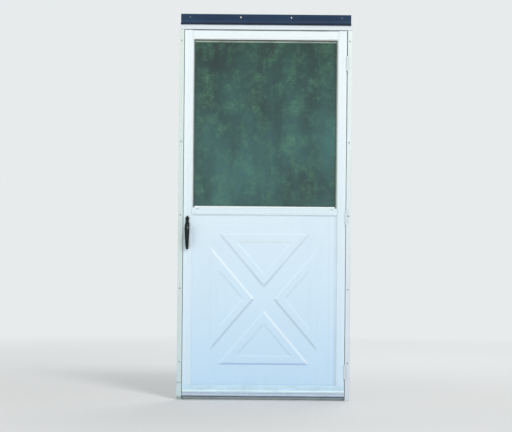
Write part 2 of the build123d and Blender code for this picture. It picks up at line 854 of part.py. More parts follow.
# Bottom expander
def expander_screw_z():
    return EXPANDER_BOTTOM + EXPANDER_SCREW_UP


def expander_screw_places():
    end = leaf_half - EXPANDER_SCREW_INSET
    return between(EXPANDER_SCREW_COUNT, -end, end)


def bottom_expander():
    front = expander_front - EXPANDER_WALL
    back = expander_back + EXPANDER_WALL
    floor = EXPANDER_BOTTOM + EXPANDER_WALL
    ridge = EXPANDER_BOTTOM + EXPANDER_RIDGE_UP
    outline = [
        (expander_front, expander_top),
        (front, expander_top - EXPANDER_WALL),
        (front, ridge + 3 * EXPANDER_RIDGE),
        (front - EXPANDER_RIDGE, ridge),
        (front, ridge - EXPANDER_RIDGE / 2),
        (front, EXPANDER_BOTTOM),
        (back, EXPANDER_BOTTOM),
        (back, expander_top),
        (expander_back, expander_top),
        (expander_back, floor),
        (expander_front, floor),
    ]
    channel = prism(Plane.YZ.offset(-leaf_half), outline, 2 * leaf_half)
    radius = small_clearance()
    deep = (front, expander_front)
    return without(channel, [bar_y(x, expander_screw_z(), radius, *deep) for x in expander_screw_places()])


def expander_screws():
    screw = small_screw(EXPANDER_SCREW_LENGTH, EXPANDER_WALL)
    y = expander_front - EXPANDER_WALL
    return Compound([driven(screw, (x, y, expander_screw_z()), (0, 1, 0)) for x in expander_screw_places()])


# Rubber strip under the expander, with fins that brush the sill.
def bottom_sweep():
    middle = (leaf_front + leaf_back) / 2
    reach = (SWEEP_FIN_COUNT - 1) * SWEEP_FIN_PITCH / 2 + SWEEP_FIN
    root = EXPANDER_BOTTOM - SWEEP_BASE
    length = 2 * (leaf_half - SWEEP_END_GAP)
    plane = Plane.YZ.offset(-length / 2)
    strip = prism(
        plane,
        [
            (middle - reach, root),
            (middle + reach, root),
            (middle + reach, EXPANDER_BOTTOM),
            (middle - reach, EXPANDER_BOTTOM),
        ],
        length,
    )
    fins = []
    for y in evenly(SWEEP_FIN_COUNT, SWEEP_FIN_PITCH, middle):
        wide = SWEEP_FIN / 2
        fin = [(y - wide, root), (y - wide / 2, SWEEP_CLEAR), (y + wide / 2, SWEEP_CLEAR), (y + wide, root)]
        fins.append(prism(plane, fin, length))
    return joined([strip] + fins)


# Hinges
def hinge_heights():
    return between(len(HINGE_NAMES), HINGE_RISE, OPENING_HEIGHT - HINGE_TOP_DROP)


def hinge_screw_heights():
    heights = []
    for middle in hinge_heights():
        heights += evenly(HINGE_SCREW_COUNT, HINGE_SCREW_PITCH, middle)
    return heights


def hinge_screw(fit=0.0):
    return flush_screw(
        HINGE_SCREW_RADIUS + fit, HINGE_PLATE + HINGE_SCREW_LENGTH, HINGE_SCREW_HEAD + fit, HINGE_PLATE
    )


# A plate against the leaf's edge or the frame's web, with its share of the knuckles.
def hinge_leaf(middle, across, turns, screw_face, screw_direction):
    bottom = middle - HINGE_HEIGHT / 2
    share = HINGE_HEIGHT / KNUCKLE_COUNT
    clear = hinge_y + KNUCKLE_RADIUS + KNUCKLE_NECK
    pieces = [block(across, (clear, hinge_y + HINGE_DEPTH), (bottom, bottom + HINGE_HEIGHT))]
    for index in turns:
        low = bottom + share * index + KNUCKLE_GAP / 2
        high = low + share - KNUCKLE_GAP
        pieces.append(block(across, (hinge_y, clear), (low, high)))
        pieces.append(bar_z(hinge_x, hinge_y, KNUCKLE_RADIUS, low, high))
    bore = bar_z(hinge_x, hinge_y, PIN_RADIUS + PIN_FIT, bottom, bottom + HINGE_HEIGHT)
    y = hinge_y + HINGE_SCREW_DEPTH
    holes = []
    for z in evenly(HINGE_SCREW_COUNT, HINGE_SCREW_PITCH, middle):
        holes.append(driven(hinge_screw(HOLE_FIT), (screw_face, y, z), screw_direction))
    return without(joined(pieces), [bore] + holes)


def frame_hinge_leaf(middle):
    face = half_opening - HINGE_PLATE
    return hinge_leaf(middle, (face, half_opening), range(0, KNUCKLE_COUNT, 2), face, (1, 0, 0))


def door_hinge_leaf(middle):
    face = leaf_half + HINGE_PLATE
    return hinge_leaf(middle, (leaf_half, face), range(1, KNUCKLE_COUNT, 2), face, (-1, 0, 0))


# A pin with a chamfered button at each end, seated on the outermost knuckles.
def hinge_pin(middle):
    half = (HINGE_HEIGHT - KNUCKLE_GAP) / 2
    shaft = bar_z(hinge_x, hinge_y, PIN_RADIUS, middle - half, middle + half)
    button = Cylinder(PIN_HEAD_RADIUS, PIN_HEAD_HEIGHT, align=(Align.CENTER, Align.CENTER, Align.MIN))
    button = chamfer(button.edges().group_by(Axis.Z)[-1], PIN_HEAD_HEIGHT / 3)
    top = Pos(hinge_x, hinge_y, middle + half) * button
    bottom = Pos(hinge_x, hinge_y, middle - half) * Rot(180, 0, 0) * button
    return shaft + top + bottom


def hinge_screws(face, direction):
    y = hinge_y + HINGE_SCREW_DEPTH
    return Compound([driven(hinge_screw(), (face, y, z), direction) for z in hinge_screw_heights()])


# Pull handle and push button

# How far a bow stands out along its length, from 0 at one end to 1 at the other.
def bow(share):
    return 1 - abs(2 * share - 1) ** 3


def handle_section(share, narrowing):
    half = HANDLE_WIDTH * narrowing / 2
    ridge = leaf_front - HANDLE_FOOT - (HANDLE_REACH - HANDLE_FOOT) * bow(share)
    outline = [(-half, leaf_front), (half, leaf_front), (half, ridge + HANDLE_RIDGE), (0, ridge)]
    outline.append((-half, ridge + HANDLE_RIDGE))
    section = Pos(handle_x, 0) * make_face(Polyline(*outline, close=True))
    return Plane.XY.offset(handle_bottom + HANDLE_LENGTH * share) * section


def finger_gap():
    low = handle_bottom + FINGER_LOW_FOOT
    high = handle_top - FINGER_TOP_FOOT
    shares = [index / 8 for index in range(9)]
    inside = [(leaf_front - FINGER_DEPTH * bow(share), low + (high - low) * share) for share in shares]
    curve = Spline(*inside)
    chord = Line(inside[-1], inside[0])
    half = HANDLE_WIDTH
    return extrude(Plane.YZ.offset(handle_x - half) * make_face(curve.edges() + chord.edges()), 2 * half)


def diamond(shrink=0.0):
    half_width = DIAMOND_WIDTH / 2 - shrink
    half_height = DIAMOND_HEIGHT / 2 - shrink
    points = [(half_width, 0), (0, half_height), (-half_width, 0), (0, -half_height)]
    return Pos(handle_x, latch_z) * make_face(Polyline(*points, close=True))


# Bowed grip with a ridge down its face, under a diamond collar that houses the button.
def pull_handle():
    grip = loft([handle_section(share, narrowing) for share, narrowing in HANDLE_TAPER])
    collar = extrude(Plane.XZ.offset(-leaf_front) * diamond(), DIAMOND_DEPTH, taper=DIAMOND_TAPER)
    half_neck = NECK_WIDTH / 2
    neck = block(
        (handle_x - half_neck, handle_x + half_neck),
        (leaf_front - NECK_DEPTH, leaf_front),
        (handle_top - NECK_WIDTH, latch_z - DIAMOND_WALL),
    )
    socket = extrude(Plane.XZ.offset(-leaf_front) * diamond(DIAMOND_WALL), DIAMOND_DEPTH)
    radius = HANDLE_SCREW_RADIUS + THREAD_FIT
    bites = (leaf_front - HANDLE_SCREW_BITE, leaf_front)
    holes = [bar_y(handle_x, z, radius, *bites) for z in handle_screw_heights()]
    return without(grip - finger_gap() + neck + collar, [socket] + holes)


def push_button():
    shape = diamond(DIAMOND_WALL + BUTTON_FIT)
    base = leaf_front - BUTTON_TRAVEL - BUTTON_STOP_GAP
    rim = leaf_front - DIAMOND_DEPTH
    body = extrude(Plane.XZ.offset(-base) * shape, base - rim)
    crown = extrude(Plane.XZ.offset(-rim) * shape, BUTTON_CROWN, taper=BUTTON_TAPER)
    plunger = bar_y(handle_x, latch_z, PLUNGER_RADIUS, base, leaf_back + PLUNGER_PROUD)
    return body + crown + plunger


def handle_screw_heights():
    return [handle_bottom + LOW_SCREW_UP, handle_top - TOP_SCREW_DOWN]


def case_screw_z():
    return latch_z + CASE_SCREW_RISE


# The low screw starts on the leaf, the high one on the latch case, and both end in the
# handle. The third holds the top of the case to the leaf.
def latch_screws():
    low, high = handle_screw_heights()
    through = LEAF_THICKNESS + HANDLE_SCREW_BITE
    spots = [
        (leaf_back, low, through, LEAF_WALL),
        (case_back, high, through + CASE_DEPTH, CASE_WALL),
        (case_back, case_screw_z(), CASE_DEPTH + 2 * LEAF_WALL, CASE_WALL),
    ]
    screws = []
    for y, z, length, held in spots:
        screw = pan_screw(HANDLE_SCREW_RADIUS, length, held)
        screws.append(driven(screw, (handle_x, y, z), (0, -1, 0)))
    return Compound(screws)


# Latch
def latch_case():
    case = block((case_left, case_right), (leaf_back, case_back), (case_bottom, case_top))
    case = fillet(case.edges().filter_by(Axis.Y), CASE_CORNER)
    case = fillet(case.faces().sort_by(Axis.Y)[-1].edges(), CASE_EDGE)
    cavity = block(
        (case_left + CASE_WALL, case_right - CASE_WALL),
        (leaf_back, case_inner),
        (case_bottom + CASE_WALL, case_top - CASE_WALL),
    )
    cavity = fillet(cavity.edges().filter_by(Axis.Y), CASE_CORNER - CASE_WALL)
    mouth = block(
        (case_left, case_left + CASE_WALL),
        (bolt_front - BOLT_FIT, bolt_back + BOLT_FIT),
        (bolt_bottom - BOLT_FIT, bolt_bottom + BOLT_HEIGHT + BOLT_FIT),
    )
    skin = (case_inner, case_back)
    half_slot = SNIB_NECK_WIDTH / 2 + SNIB_FIT
    half_neck = SNIB_NECK_HEIGHT / 2 + SNIB_FIT
    slot_height = (snib_z - half_neck, snib_z + SNIB_TRAVEL + half_neck)
    slot = block((hub_x - half_slot, hub_x + half_slot), skin, slot_height)
    holes = [bar_y(hub_x, hub_z, SHAFT_RADIUS + SHAFT_FIT, *skin)]
    for z in (handle_screw_heights()[1], case_screw_z()):
        holes.append(bar_y(handle_x, z, handle_clearance(), *skin))
    return without(case, [cavity, mouth, slot] + holes)


# Sloping behind, square in front, with a notch under its tail for the cam.
def latch_bolt():
    tip = case_left - BOLT_REACH
    tail = hub_x + CAM_TIP + CAM_FIT + BOLT_TAIL
    top = bolt_bottom + BOLT_HEIGHT
    bolt = block((tip, tail), (bolt_front, bolt_back), (bolt_bottom, top))
    slope = [(tip, bolt_back), (tip, bolt_back - BOLT_NOSE), (tip + BOLT_NOSE, bolt_back)]
    nose = prism(Plane.XY.offset(bolt_bottom), slope, BOLT_HEIGHT)
    half = CAM_TIP + CAM_FIT
    shoulder = hub_z + CAM_RADIUS - half
    notch = [
        (hub_x - half, hub_z + CAM_RADIUS + half),
        (hub_x + half, hub_z + CAM_RADIUS + half),
        (hub_x + half, bolt_bottom),
        (hub_x - half - CAM_FLARE, bolt_bottom),
        (hub_x - half, shoulder),
    ]
    return without(bolt, [nose, prism(Plane.XZ.offset(-bolt_back), notch, BOLT_DEPTH)])


# Spindle through the case, with the finger that draws the bolt.
def cam_spindle():
    deep = (bolt_front + CAM_FIT, bolt_back - CAM_FIT)
    end = case_back + LEVER_GAP + LEVER_STANDOFF
    shaft = bar_y(hub_x, hub_z, SHAFT_RADIUS, deep[0], end)
    tip = bar_y(hub_x, hub_z + CAM_RADIUS, CAM_TIP, *deep)
    neck = block((hub_x - CAM_NECK / 2, hub_x + CAM_NECK / 2), deep, (hub_z, hub_z + CAM_RADIUS))
    return shaft + tip + neck


def inside_lever():
    base = case_back + LEVER_GAP
    front = base + LEVER_STANDOFF
    hub = bar_y(hub_x, hub_z, LEVER_HUB, base, front)
    hub = hub - bar_y(hub_x, hub_z, SHAFT_RADIUS + SHAFT_FIT, base, front)
    shape = strut((hub_x, hub_z), LEVER_HUB, (hub_x + LEVER_LENGTH, hub_z), LEVER_TIP)
    arm = extrude(Plane.XZ.offset(-front - LEVER_THICKNESS) * shape, LEVER_THICKNESS)
    arm = fillet(arm.faces().sort_by(Axis.Y)[-1].edges(), LEVER_EDGE)
    return hub + arm


def lever_spring():
    radius = SHAFT_RADIUS + SPRING_GAP + SPRING_WIRE
    height = SPRING_PITCH * SPRING_TURNS
    path = Helix(SPRING_PITCH, height, radius)
    coil = sweep(Plane(origin=path @ 0, z_dir=path % 0) * Circle(SPRING_WIRE), path=path, is_frenet=True)
    middle = (bolt_back + case_inner) / 2
    return Plane(origin=(hub_x, middle + height / 2, hub_z), x_dir=(1, 0, 0), z_dir=(0, -1, 0)) * coil


def lock_snib():
    half_plate = SNIB_KNOB / 2
    across = (hub_x - half_plate, hub_x + half_plate)
    along = (snib_z - half_plate, snib_z + half_plate)
    outside = case_back + SNIB_FIT
    knob = block(across, (outside, outside + SNIB_KNOB_DEPTH), along)
    knob = fillet(knob.faces().sort_by(Axis.Y)[-1].edges(), 1.0)
    plate = block(across, (case_inner - SNIB_FIT - SNIB_PLATE, case_inner - SNIB_FIT), along)
    neck = block(
        (hub_x - SNIB_NECK_WIDTH / 2, hub_x + SNIB_NECK_WIDTH / 2),
        (case_inner - SNIB_FIT, outside),
        (snib_z - SNIB_NECK_HEIGHT / 2, snib_z + SNIB_NECK_HEIGHT / 2),
    )
    return joined([knob, neck, plate])


def strike_x():
    return STOP_REACH / 2 - half_opening


def strike_screw_heights():
    return evenly(2, STRIKE_SCREW_PITCH, latch_z)


def strike_plate():
    across = (STRIKE_MARGIN - half_opening, STOP_REACH - half_opening)
    deep = (stop_back, stop_back + STRIKE_THICKNESS)
    plate = block(across, deep, (latch_z - STRIKE_HEIGHT / 2, latch_z + STRIKE_HEIGHT / 2))
    plate = fillet(plate.edges().filter_by(Axis.Y), STRIKE_MARGIN)
    return without(plate, [bar_y(strike_x(), z, small_clearance(), *deep) for z in strike_screw_heights()])


# Closer
def jamb_screw_x():
    return half_opening - JAMB_FOOT_SCREW_EDGE


def jamb_screw_heights():
    return evenly(2, JAMB_FOOT_SCREW_PITCH, closer_z)


def door_screw_z():
    return closer_z + DOOR_FOOT_SCREW_RISE


def door_screw_places():
    return evenly(2, DOOR_FOOT_SCREW_PITCH, door_pivot_x)


# A foot with a flat tongue that carries the pivot from below.
def bracket(pivot, root, foot, screws):
    plane = Plane.XY.offset(tongue_bottom)
    tongue = extrude(plane * strut(pivot, BRACKET_END, root, BRACKET_ROOT), BRACKET_THICKNESS)
    bore = bar_z(*pivot, CLOSER_PIN_RADIUS + CLOSER_PIN_FIT, tongue_bottom, tongue_top)
    return without(tongue + foot, [bore] + screws)


def jamb_bracket():
    deep = (stop_back, stop_back + BRACKET_THICKNESS)
    edge = half_opening - STOP_REACH
    high = (closer_z - JAMB_FOOT_HEIGHT / 2, closer_z + JAMB_FOOT_HEIGHT / 2)
    foot = block((edge, edge + JAMB_FOOT_WIDTH), deep, high)
    root = (edge + JAMB_FOOT_WIDTH / 2, deep[1] + BRACKET_ROOT - 1)
    screws = [bar_y(jamb_screw_x(), z, small_clearance(), *deep) for z in jamb_screw_heights()]
    return bracket((jamb_pivot_x, closer_y), root, foot, screws)


def closer_door_bracket():
    deep = (leaf_back, leaf_back + BRACKET_THICKNESS)
    across = (door_pivot_x - DOOR_FOOT_WIDTH / 2, door_pivot_x + DOOR_FOOT_WIDTH / 2)
    foot = block(across, deep, (closer_z - DOOR_FOOT_HEIGHT / 2, closer_z + DOOR_FOOT_HEIGHT / 2))
    root = (door_pivot_x, deep[1] + BRACKET_ROOT - 1)
    screws = [bar_y(x, door_screw_z(), small_clearance(), *deep) for x in door_screw_places()]
    return bracket((door_pivot_x, closer_y), root, foot, screws)


def small_screw(length, shoulder):
    return pan_screw(SMALL_SCREW_RADIUS, length, shoulder, SMALL_HEAD_RADIUS, SMALL_HEAD_HEIGHT)


# Short screws in the stops: two in the strike and two in the closer's bracket.
def stop_screws():
    spots = [(strike_x(), z, STRIKE_THICKNESS) for z in strike_screw_heights()]
    spots += [(jamb_screw_x(), z, BRACKET_THICKNESS) for z in jamb_screw_heights()]
    screws = []
    for x, z, held in spots:
        screw = small_screw(held + FRAME_WALL, held)
        screws.append(driven(screw, (x, stop_back + held, z), (0, -1, 0)))
    return Compound(screws)


def door_bracket_screws():
    screw = small_screw(BRACKET_THICKNESS + BRACKET_SCREW_BITE, BRACKET_THICKNESS)
    y = leaf_back + BRACKET_THICKNESS
    return Compound([driven(screw, (x, y, door_screw_z()), (0, -1, 0)) for x in door_screw_places()])


def closer_pin(x, bottom):
    eye_top = closer_z + EYE_THICKNESS / 2
    shaft = bar_z(x, closer_y, CLOSER_PIN_RADIUS, bottom, eye_top)
    head = bar_z(x, closer_y, CLOSER_PIN_HEAD, eye_top, eye_top + CLOSER_PIN_HEAD_HEIGHT)
    head = fillet(head.edges().group_by(Axis.Z)[-1], CLOSER_PIN_HEAD_HEIGHT / 2)
    return shaft + head


# Flat eye around a pivot with a shank of the given length along X.
def eye(x, reach):
    plane = Plane.XY.offset(closer_z - EYE_THICKNESS / 2)
    outline = strut((x, closer_y), EYE_RADIUS, (x + reach, closer_y), ROD_RADIUS)
    plate = extrude(plane * outline, EYE_THICKNESS)
    middle = (closer_z - EYE_THICKNESS / 2, closer_z + EYE_THICKNESS / 2)
    return plate - bar_z(x, closer_y, CLOSER_PIN_RADIUS + CLOSER_PIN_FIT, *middle)


def closer_rod():
    end = door_pivot_x + PISTON_SETBACK
    shank = bar_x(closer_y, closer_z, ROD_RADIUS, end, jamb_pivot_x - EYE_SHANK)
    return eye(jamb_pivot_x, -EYE_SHANK) + shank


def closer_piston():
    start = door_pivot_x + PISTON_SETBACK
    radius = TUBE_RADIUS - TUBE_WALL - PISTON_FIT
    ring = bar_x(closer_y, closer_z, radius, start, start + PISTON_LENGTH)
    ring = fillet(ring.edges(), 1.0)
    return ring - bar_x(closer_y, closer_z, ROD_RADIUS + THREAD_FIT, start, start + PISTON_LENGTH)


# Tube drawn in to a nose round the rod, open at the other end for its cap.
def closer_tube():
    start = door_pivot_x + TUBE_START
    end = start + TUBE_LENGTH
    inside = TUBE_RADIUS - TUBE_WALL
    bore = ROD_RADIUS + ROD_FIT
    outline = Polyline(
        (start, inside),
        (start, TUBE_RADIUS),
        (end, TUBE_RADIUS),
        (end + TUBE_NOSE, TUBE_NOSE_RADIUS),
        (end + TUBE_NOSE, bore),
        (end - TUBE_NOSE, bore),
        (end - TUBE_NOSE, inside),
        close=True,
    )
    tube = revolve(Plane.XZ * make_face(outline), Axis.X)
    return Pos(0, closer_y, closer_z) * tube


def closer_end_cap():
    start = door_pivot_x + TUBE_START
    plug = bar_x(closer_y, closer_z, TUBE_RADIUS - TUBE_WALL, start, start + TUBE_PLUG)
    collar = bar_x(closer_y, closer_z, TUBE_RADIUS, start - EYE_THICKNESS, start)
    return plug + collar + eye(door_pivot_x, TUBE_START - EYE_THICKNESS / 2)


def hold_open_washer():
    end = jamb_pivot_x - WASHER_START
    washer = bar_x(closer_y, closer_z, WASHER_RADIUS, end - WASHER_THICKNESS, end)
    return washer - bar_x(closer_y, closer_z, ROD_RADIUS + WASHER_FIT, end - WASHER_THICKNESS, end)


# Assembly
def all_parts():
    inserts = bay_strips(glass_bay, insert_points(), INSERT_WIDTH)
    parts = {
        "hinge_rail": hinge_rail(),
        "latch_rail": latch_rail(),
        "head_rail": head_rail(),
        "pile_strips": pile_strips(),
        "head_flashing": head_flashing(),
        "flashing_screws": flashing_screws(),
        "rail_screws": rail_screws(),
        "hinge_stile": hinge_stile(),
        "latch_stile": latch_stile(),
        "top_rail": top_rail(),
        "lock_rail": lock_rail(),
        "bottom_rail": bottom_rail(),
        "corner_screws": corner_screws(),
        "kick_panel_face": kick_panel_face(),
        "kick_panel_core": kick_panel_core(),
        "kick_panel_back": kick_panel_back(),
        "panel_retainers": panel_retainers(),
        "insert_left": inserts[0],
        "insert_right": inserts[1],
        "insert_top": inserts[2],
        "insert_bottom": inserts[3],
        "insert_retainers": insert_retainers(),
        "glass_pane": glass_pane(),
        "glazing_gasket": glazing_gasket(),
        "bottom_expander": bottom_expander(),
        "expander_screws": expander_screws(),
        "bottom_sweep": bottom_sweep(),
        "frame_hinge_screws": hinge_screws(half_opening - HINGE_PLATE, (1, 0, 0)),
        "door_hinge_screws": hinge_screws(leaf_half + HINGE_PLATE, (-1, 0, 0)),
        "pull_handle": pull_handle(),
        "push_button": push_button(),
        "latch_screws": latch_screws(),
        "latch_case": latch_case(),
        "latch_bolt": latch_bolt(),
        "cam_spindle": cam_spindle(),
        "inside_lever": inside_lever(),
        "lever_spring": lever_spring(),
        "lock_snib": lock_snib(),
        "strike_plate": strike_plate(),
        "stop_screws": stop_screws(),
        "jamb_bracket": jamb_bracket(),
        "jamb_pin": closer_pin(jamb_pivot_x, tongue_bottom),
        "closer_door_bracket": closer_door_bracket(),
        "door_bracket_screws": door_bracket_screws(),
        "closer_rod": closer_rod(),
        "closer_piston": closer_piston(),
        "closer_tube": closer_tube(),
        "closer_end_cap": closer_end_cap(),
        "closer_eye_pin": closer_pin(door_pivot_x, closer_z - EYE_THICKNESS / 2),
        "hold_open_washer": hold_open_washer(),
    }
    for name, middle in zip(HINGE_NAMES, hinge_heights()):
        parts[f"{name}_frame_hinge_leaf"] = frame_hinge_leaf(middle)
        parts[f"{name}_door_hinge_leaf"] = door_hinge_leaf(middle)
        parts[f"{name}_hinge_pin"] = hinge_pin(middle)
    return parts


# The origin is at the bottom of the whole door, in the middle of its depth.
def depth_middle(parts):
    boxes = [shape.bounding_box() for shape in parts.values()]
    return (min(box.min.Y for box in boxes) + max(box.max.Y for box in boxes)) / 2


parts = all_parts()
depth_shift = -depth_middle(parts)
os.makedirs("parts", exist_ok=True)
for name, shape in parts.items():
    export_step(Pos(0, depth_shift, 0) * shape, f"parts/{name}.step")
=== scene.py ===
import bpy
import bmesh
import math
from mathutils import Matrix, Vector


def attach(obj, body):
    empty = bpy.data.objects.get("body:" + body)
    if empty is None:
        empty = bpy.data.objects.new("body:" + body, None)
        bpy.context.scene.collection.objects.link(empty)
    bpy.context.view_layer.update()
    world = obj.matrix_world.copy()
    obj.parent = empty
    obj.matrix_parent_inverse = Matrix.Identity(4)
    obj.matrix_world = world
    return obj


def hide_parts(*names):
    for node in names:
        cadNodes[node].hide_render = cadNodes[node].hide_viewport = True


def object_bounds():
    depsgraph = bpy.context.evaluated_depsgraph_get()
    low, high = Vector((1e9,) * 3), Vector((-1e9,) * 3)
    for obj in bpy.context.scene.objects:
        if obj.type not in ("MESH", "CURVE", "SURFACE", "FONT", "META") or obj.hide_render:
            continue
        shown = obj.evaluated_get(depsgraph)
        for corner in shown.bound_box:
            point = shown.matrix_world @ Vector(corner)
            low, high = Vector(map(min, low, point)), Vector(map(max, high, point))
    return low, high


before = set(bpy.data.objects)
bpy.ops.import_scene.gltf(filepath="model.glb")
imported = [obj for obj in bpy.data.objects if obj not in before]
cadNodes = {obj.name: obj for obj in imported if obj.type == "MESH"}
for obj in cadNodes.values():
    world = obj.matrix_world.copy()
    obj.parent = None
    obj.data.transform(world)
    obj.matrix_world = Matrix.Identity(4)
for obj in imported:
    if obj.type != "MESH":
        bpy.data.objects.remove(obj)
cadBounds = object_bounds()
hingeNames = ("bottom", "middle", "top")
print("frame loaded", len(cadNodes), "nodes")


# Shader helpers. Textures are laid in object space, which is the door's own frame in metres.
def startMaterial(name):
    material = bpy.data.materials.new(name)
    material.use_nodes = True
    return material, material.node_tree.nodes["Principled BSDF"]


def addNode(material, kind, settings=None, **sockets):
    node = material.node_tree.nodes.new(kind)
    for key, value in (settings or {}).items():
        setattr(node, key, value)
    for key, value in sockets.items():
        feed(material, value, node.inputs[key.replace("_", " ")])
    return node


def feed(material, value, socket):
    if isinstance(value, bpy.types.NodeSocket):
        material.node_tree.links.new(value, socket)
    elif hasattr(value, "__len__") and len(value) == 3 and socket.type == "RGBA":
        socket.default_value = (*value, 1)
    else:
        socket.default_value = value


def setShader(material, shader, **sockets):
    for key, value in sockets.items():
        feed(material, value, shader.inputs[key.replace("_", " ")])


def objectPlace(material, stretch=(1, 1, 1)):
    coords = addNode(material, "ShaderNodeTexCoord")
    return addNode(
        material, "ShaderNodeMapping", Vector=coords.outputs["Object"], Scale=stretch
    ).outputs[0]


def noise(material, place, scale, detail=4, rough=0.55):
    return addNode(
        material, "ShaderNodeTexNoise", Vector=place, Scale=scale, Detail=detail, Roughness=rough
    ).outputs["Fac"]


def spread(material, value, low, high, toLow=0.0, toHigh=1.0):
    made = addNode(material, "ShaderNodeMapRange", Value=value, From_Min=low, From_Max=high)
    made.inputs["To Min"].default_value = toLow
    made.inputs["To Max"].default_value = toHigh
    return made.outputs[0]


def blendColour(material, factor, first, second):
    made = addNode(material, "ShaderNodeMix", {"data_type": "RGBA"})
    feed(material, factor, made.inputs[0])
    feed(material, first, made.inputs[6])
    feed(material, second, made.inputs[7])
    return made.outputs[2]


def calculate(material, way, first, second):
    made = addNode(material, "ShaderNodeMath", {"operation": way})
    feed(material, first, made.inputs[0])
    feed(material, second, made.inputs[1])
    return made.outputs[0]


def times(material, first, second):
    return calculate(material, "MULTIPLY", first, second)


def sizeOf(material, value):
    return calculate(material, "ABSOLUTE", value, 0.0)


def placeAxes(material):
    return addNode(material, "ShaderNodeSeparateXYZ", Vector=objectPlace(material)).outputs


def facingAxes(material):
    normal = addNode(material, "ShaderNodeTexCoord").outputs["Normal"]
    return addNode(material, "ShaderNodeSeparateXYZ", Vector=normal).outputs


def heightAbove(material):
    return placeAxes(material)["Z"]


creaseLook = {"samples": 8, "shadeRange": (0.35, 0.9), "edgeSamples": 4}


# Painted shade in creases: ambient occlusion darkens the colour where the surface is hemmed in
def crevice(material, reach):
    made = addNode(
        material, "ShaderNodeAmbientOcclusion", {"samples": creaseLook["samples"]}, Distance=reach
    )
    return spread(material, made.outputs["AO"], *creaseLook["shadeRange"], 1.0, 0.0)


def roundedEdges(material, radius):
    return addNode(
        material, "ShaderNodeBevel", {"samples": creaseLook["edgeSamples"]}, Radius=radius
    ).outputs[0]


def edgeMask(material, rounded, start):
    plain = addNode(material, "ShaderNodeNewGeometry").outputs["Normal"]
    turned = addNode(material, "ShaderNodeVectorMath", {"operation": "DOT_PRODUCT"})
    feed(material, rounded, turned.inputs[0])
    feed(material, plain, turned.inputs[1])
    return spread(material, turned.outputs["Value"], start, 1.0, 1.0, 0.0)


def bumped(material, height, strength, distance, normal):
    return addNode(
        material, "ShaderNodeBump", Height=height, Strength=strength, Distance=distance, Normal=normal
    ).outputs[0]


# Patchy lines of painted shade (shadow in gaps, under edges and at joints) and of painted highlight on the
# outer faces, which look along -Y
seamLook = {
    "facingRange": (-0.3, -0.7), "patchScale": 9, "patchRange": (0.3, 0.6), "thinnest": 0.55,
    "solidShare": 0.35,
}


# Each seam is an axis, its place on it, its reach and its strength
def seamShadeAndHighlight(material, shadeSeams):
    place = placeAxes(material)
    outer = spread(material, facingAxes(material)["Y"], *seamLook["facingRange"])
    patchy = noise(material, objectPlace(material), seamLook["patchScale"])
    patches = spread(material, patchy, *seamLook["patchRange"], seamLook["thinnest"], 1.0)
    total = 0.0
    for axis, at, reach, strength in shadeSeams:
        away = sizeOf(material, calculate(material, "SUBTRACT", place[axis], at))
        near = spread(material, away, reach * seamLook["solidShare"], reach, strength, 0.0)
        total = calculate(material, "MAXIMUM", near, total)
    return times(material, times(material, total, patches), outer)


# Painted light and shade on the pressed bands, set by the way their slopes face. Painted shade lies on
# slopes that look down along the cross, thinner in its upper half, and most on the lowest level slope;
# slopes near the cross that face right and up get painted highlight. The level ones are tinted by the way
# they look.
def bandShading(material, colour, look):
    facing, place = facingAxes(material), placeAxes(material)
    across = sizeOf(material, place["X"])
    rise = sizeOf(material, calculate(material, "SUBTRACT", place["Z"], look["crossHeight"]))
    tilt = math.radians(look["crossAngle"])
    away = calculate(
        material, "SUBTRACT", times(material, across, math.sin(tilt)), times(material, rise, math.cos(tilt))
    )
    near = spread(material, sizeOf(material, away), *look["crossReach"], 1.0, 0.0)
    upper = spread(material, place["Z"], *look["shadeThinsFrom"], 1.0, look["upperShadeShare"])
    slant = sizeOf(material, facing["X"])
    sloping = spread(material, slant, *look["slantRange"])
    rightward = spread(material, facing["X"], *look["slantRange"])
    level = spread(material, slant, *look["levelRange"], 1.0, 0.0)
    masks = {
        "slanting": times(material, sloping, times(material, near, upper)),
        "rightward": times(material, rightward, near),
        "level": level,
        "foot": times(material, level, spread(material, place["Z"], *look["footFrom"])),
    }
    for kind, side, strength, tint in look["bandShades"]:
        turned = spread(material, facing["Z"], *[side * bound for bound in look["turnRange"]])
        shown = times(material, masks[kind], turned)
        colour = blendColour(material, times(material, shown, strength), colour, tint)
    return colour


# What all coated metal shares
coatingLook = {
    "cloudRange": (0.35, 0.7), "streakStretch": (14, 14, 0.7), "streakScale": 9, "streakDetail": 5,
    "streakRange": (0.4, 0.75), "wearFrom": 0.75, "wearScale": 60, "wearDetail": 3,
    "wearRange": (0.5, 0.62), "shineScale": 18, "shineDetail": 5, "shineRange": (0.3, 0.7),
    "peelDetail": 2, "peelDepth": 0.0004, "waveScale": 3.5, "waveDetail": 2, "waveDepth": 0.004,
    "coatRoughness": 0.12, "refraction": 1.5, "shine": 0.5,
}
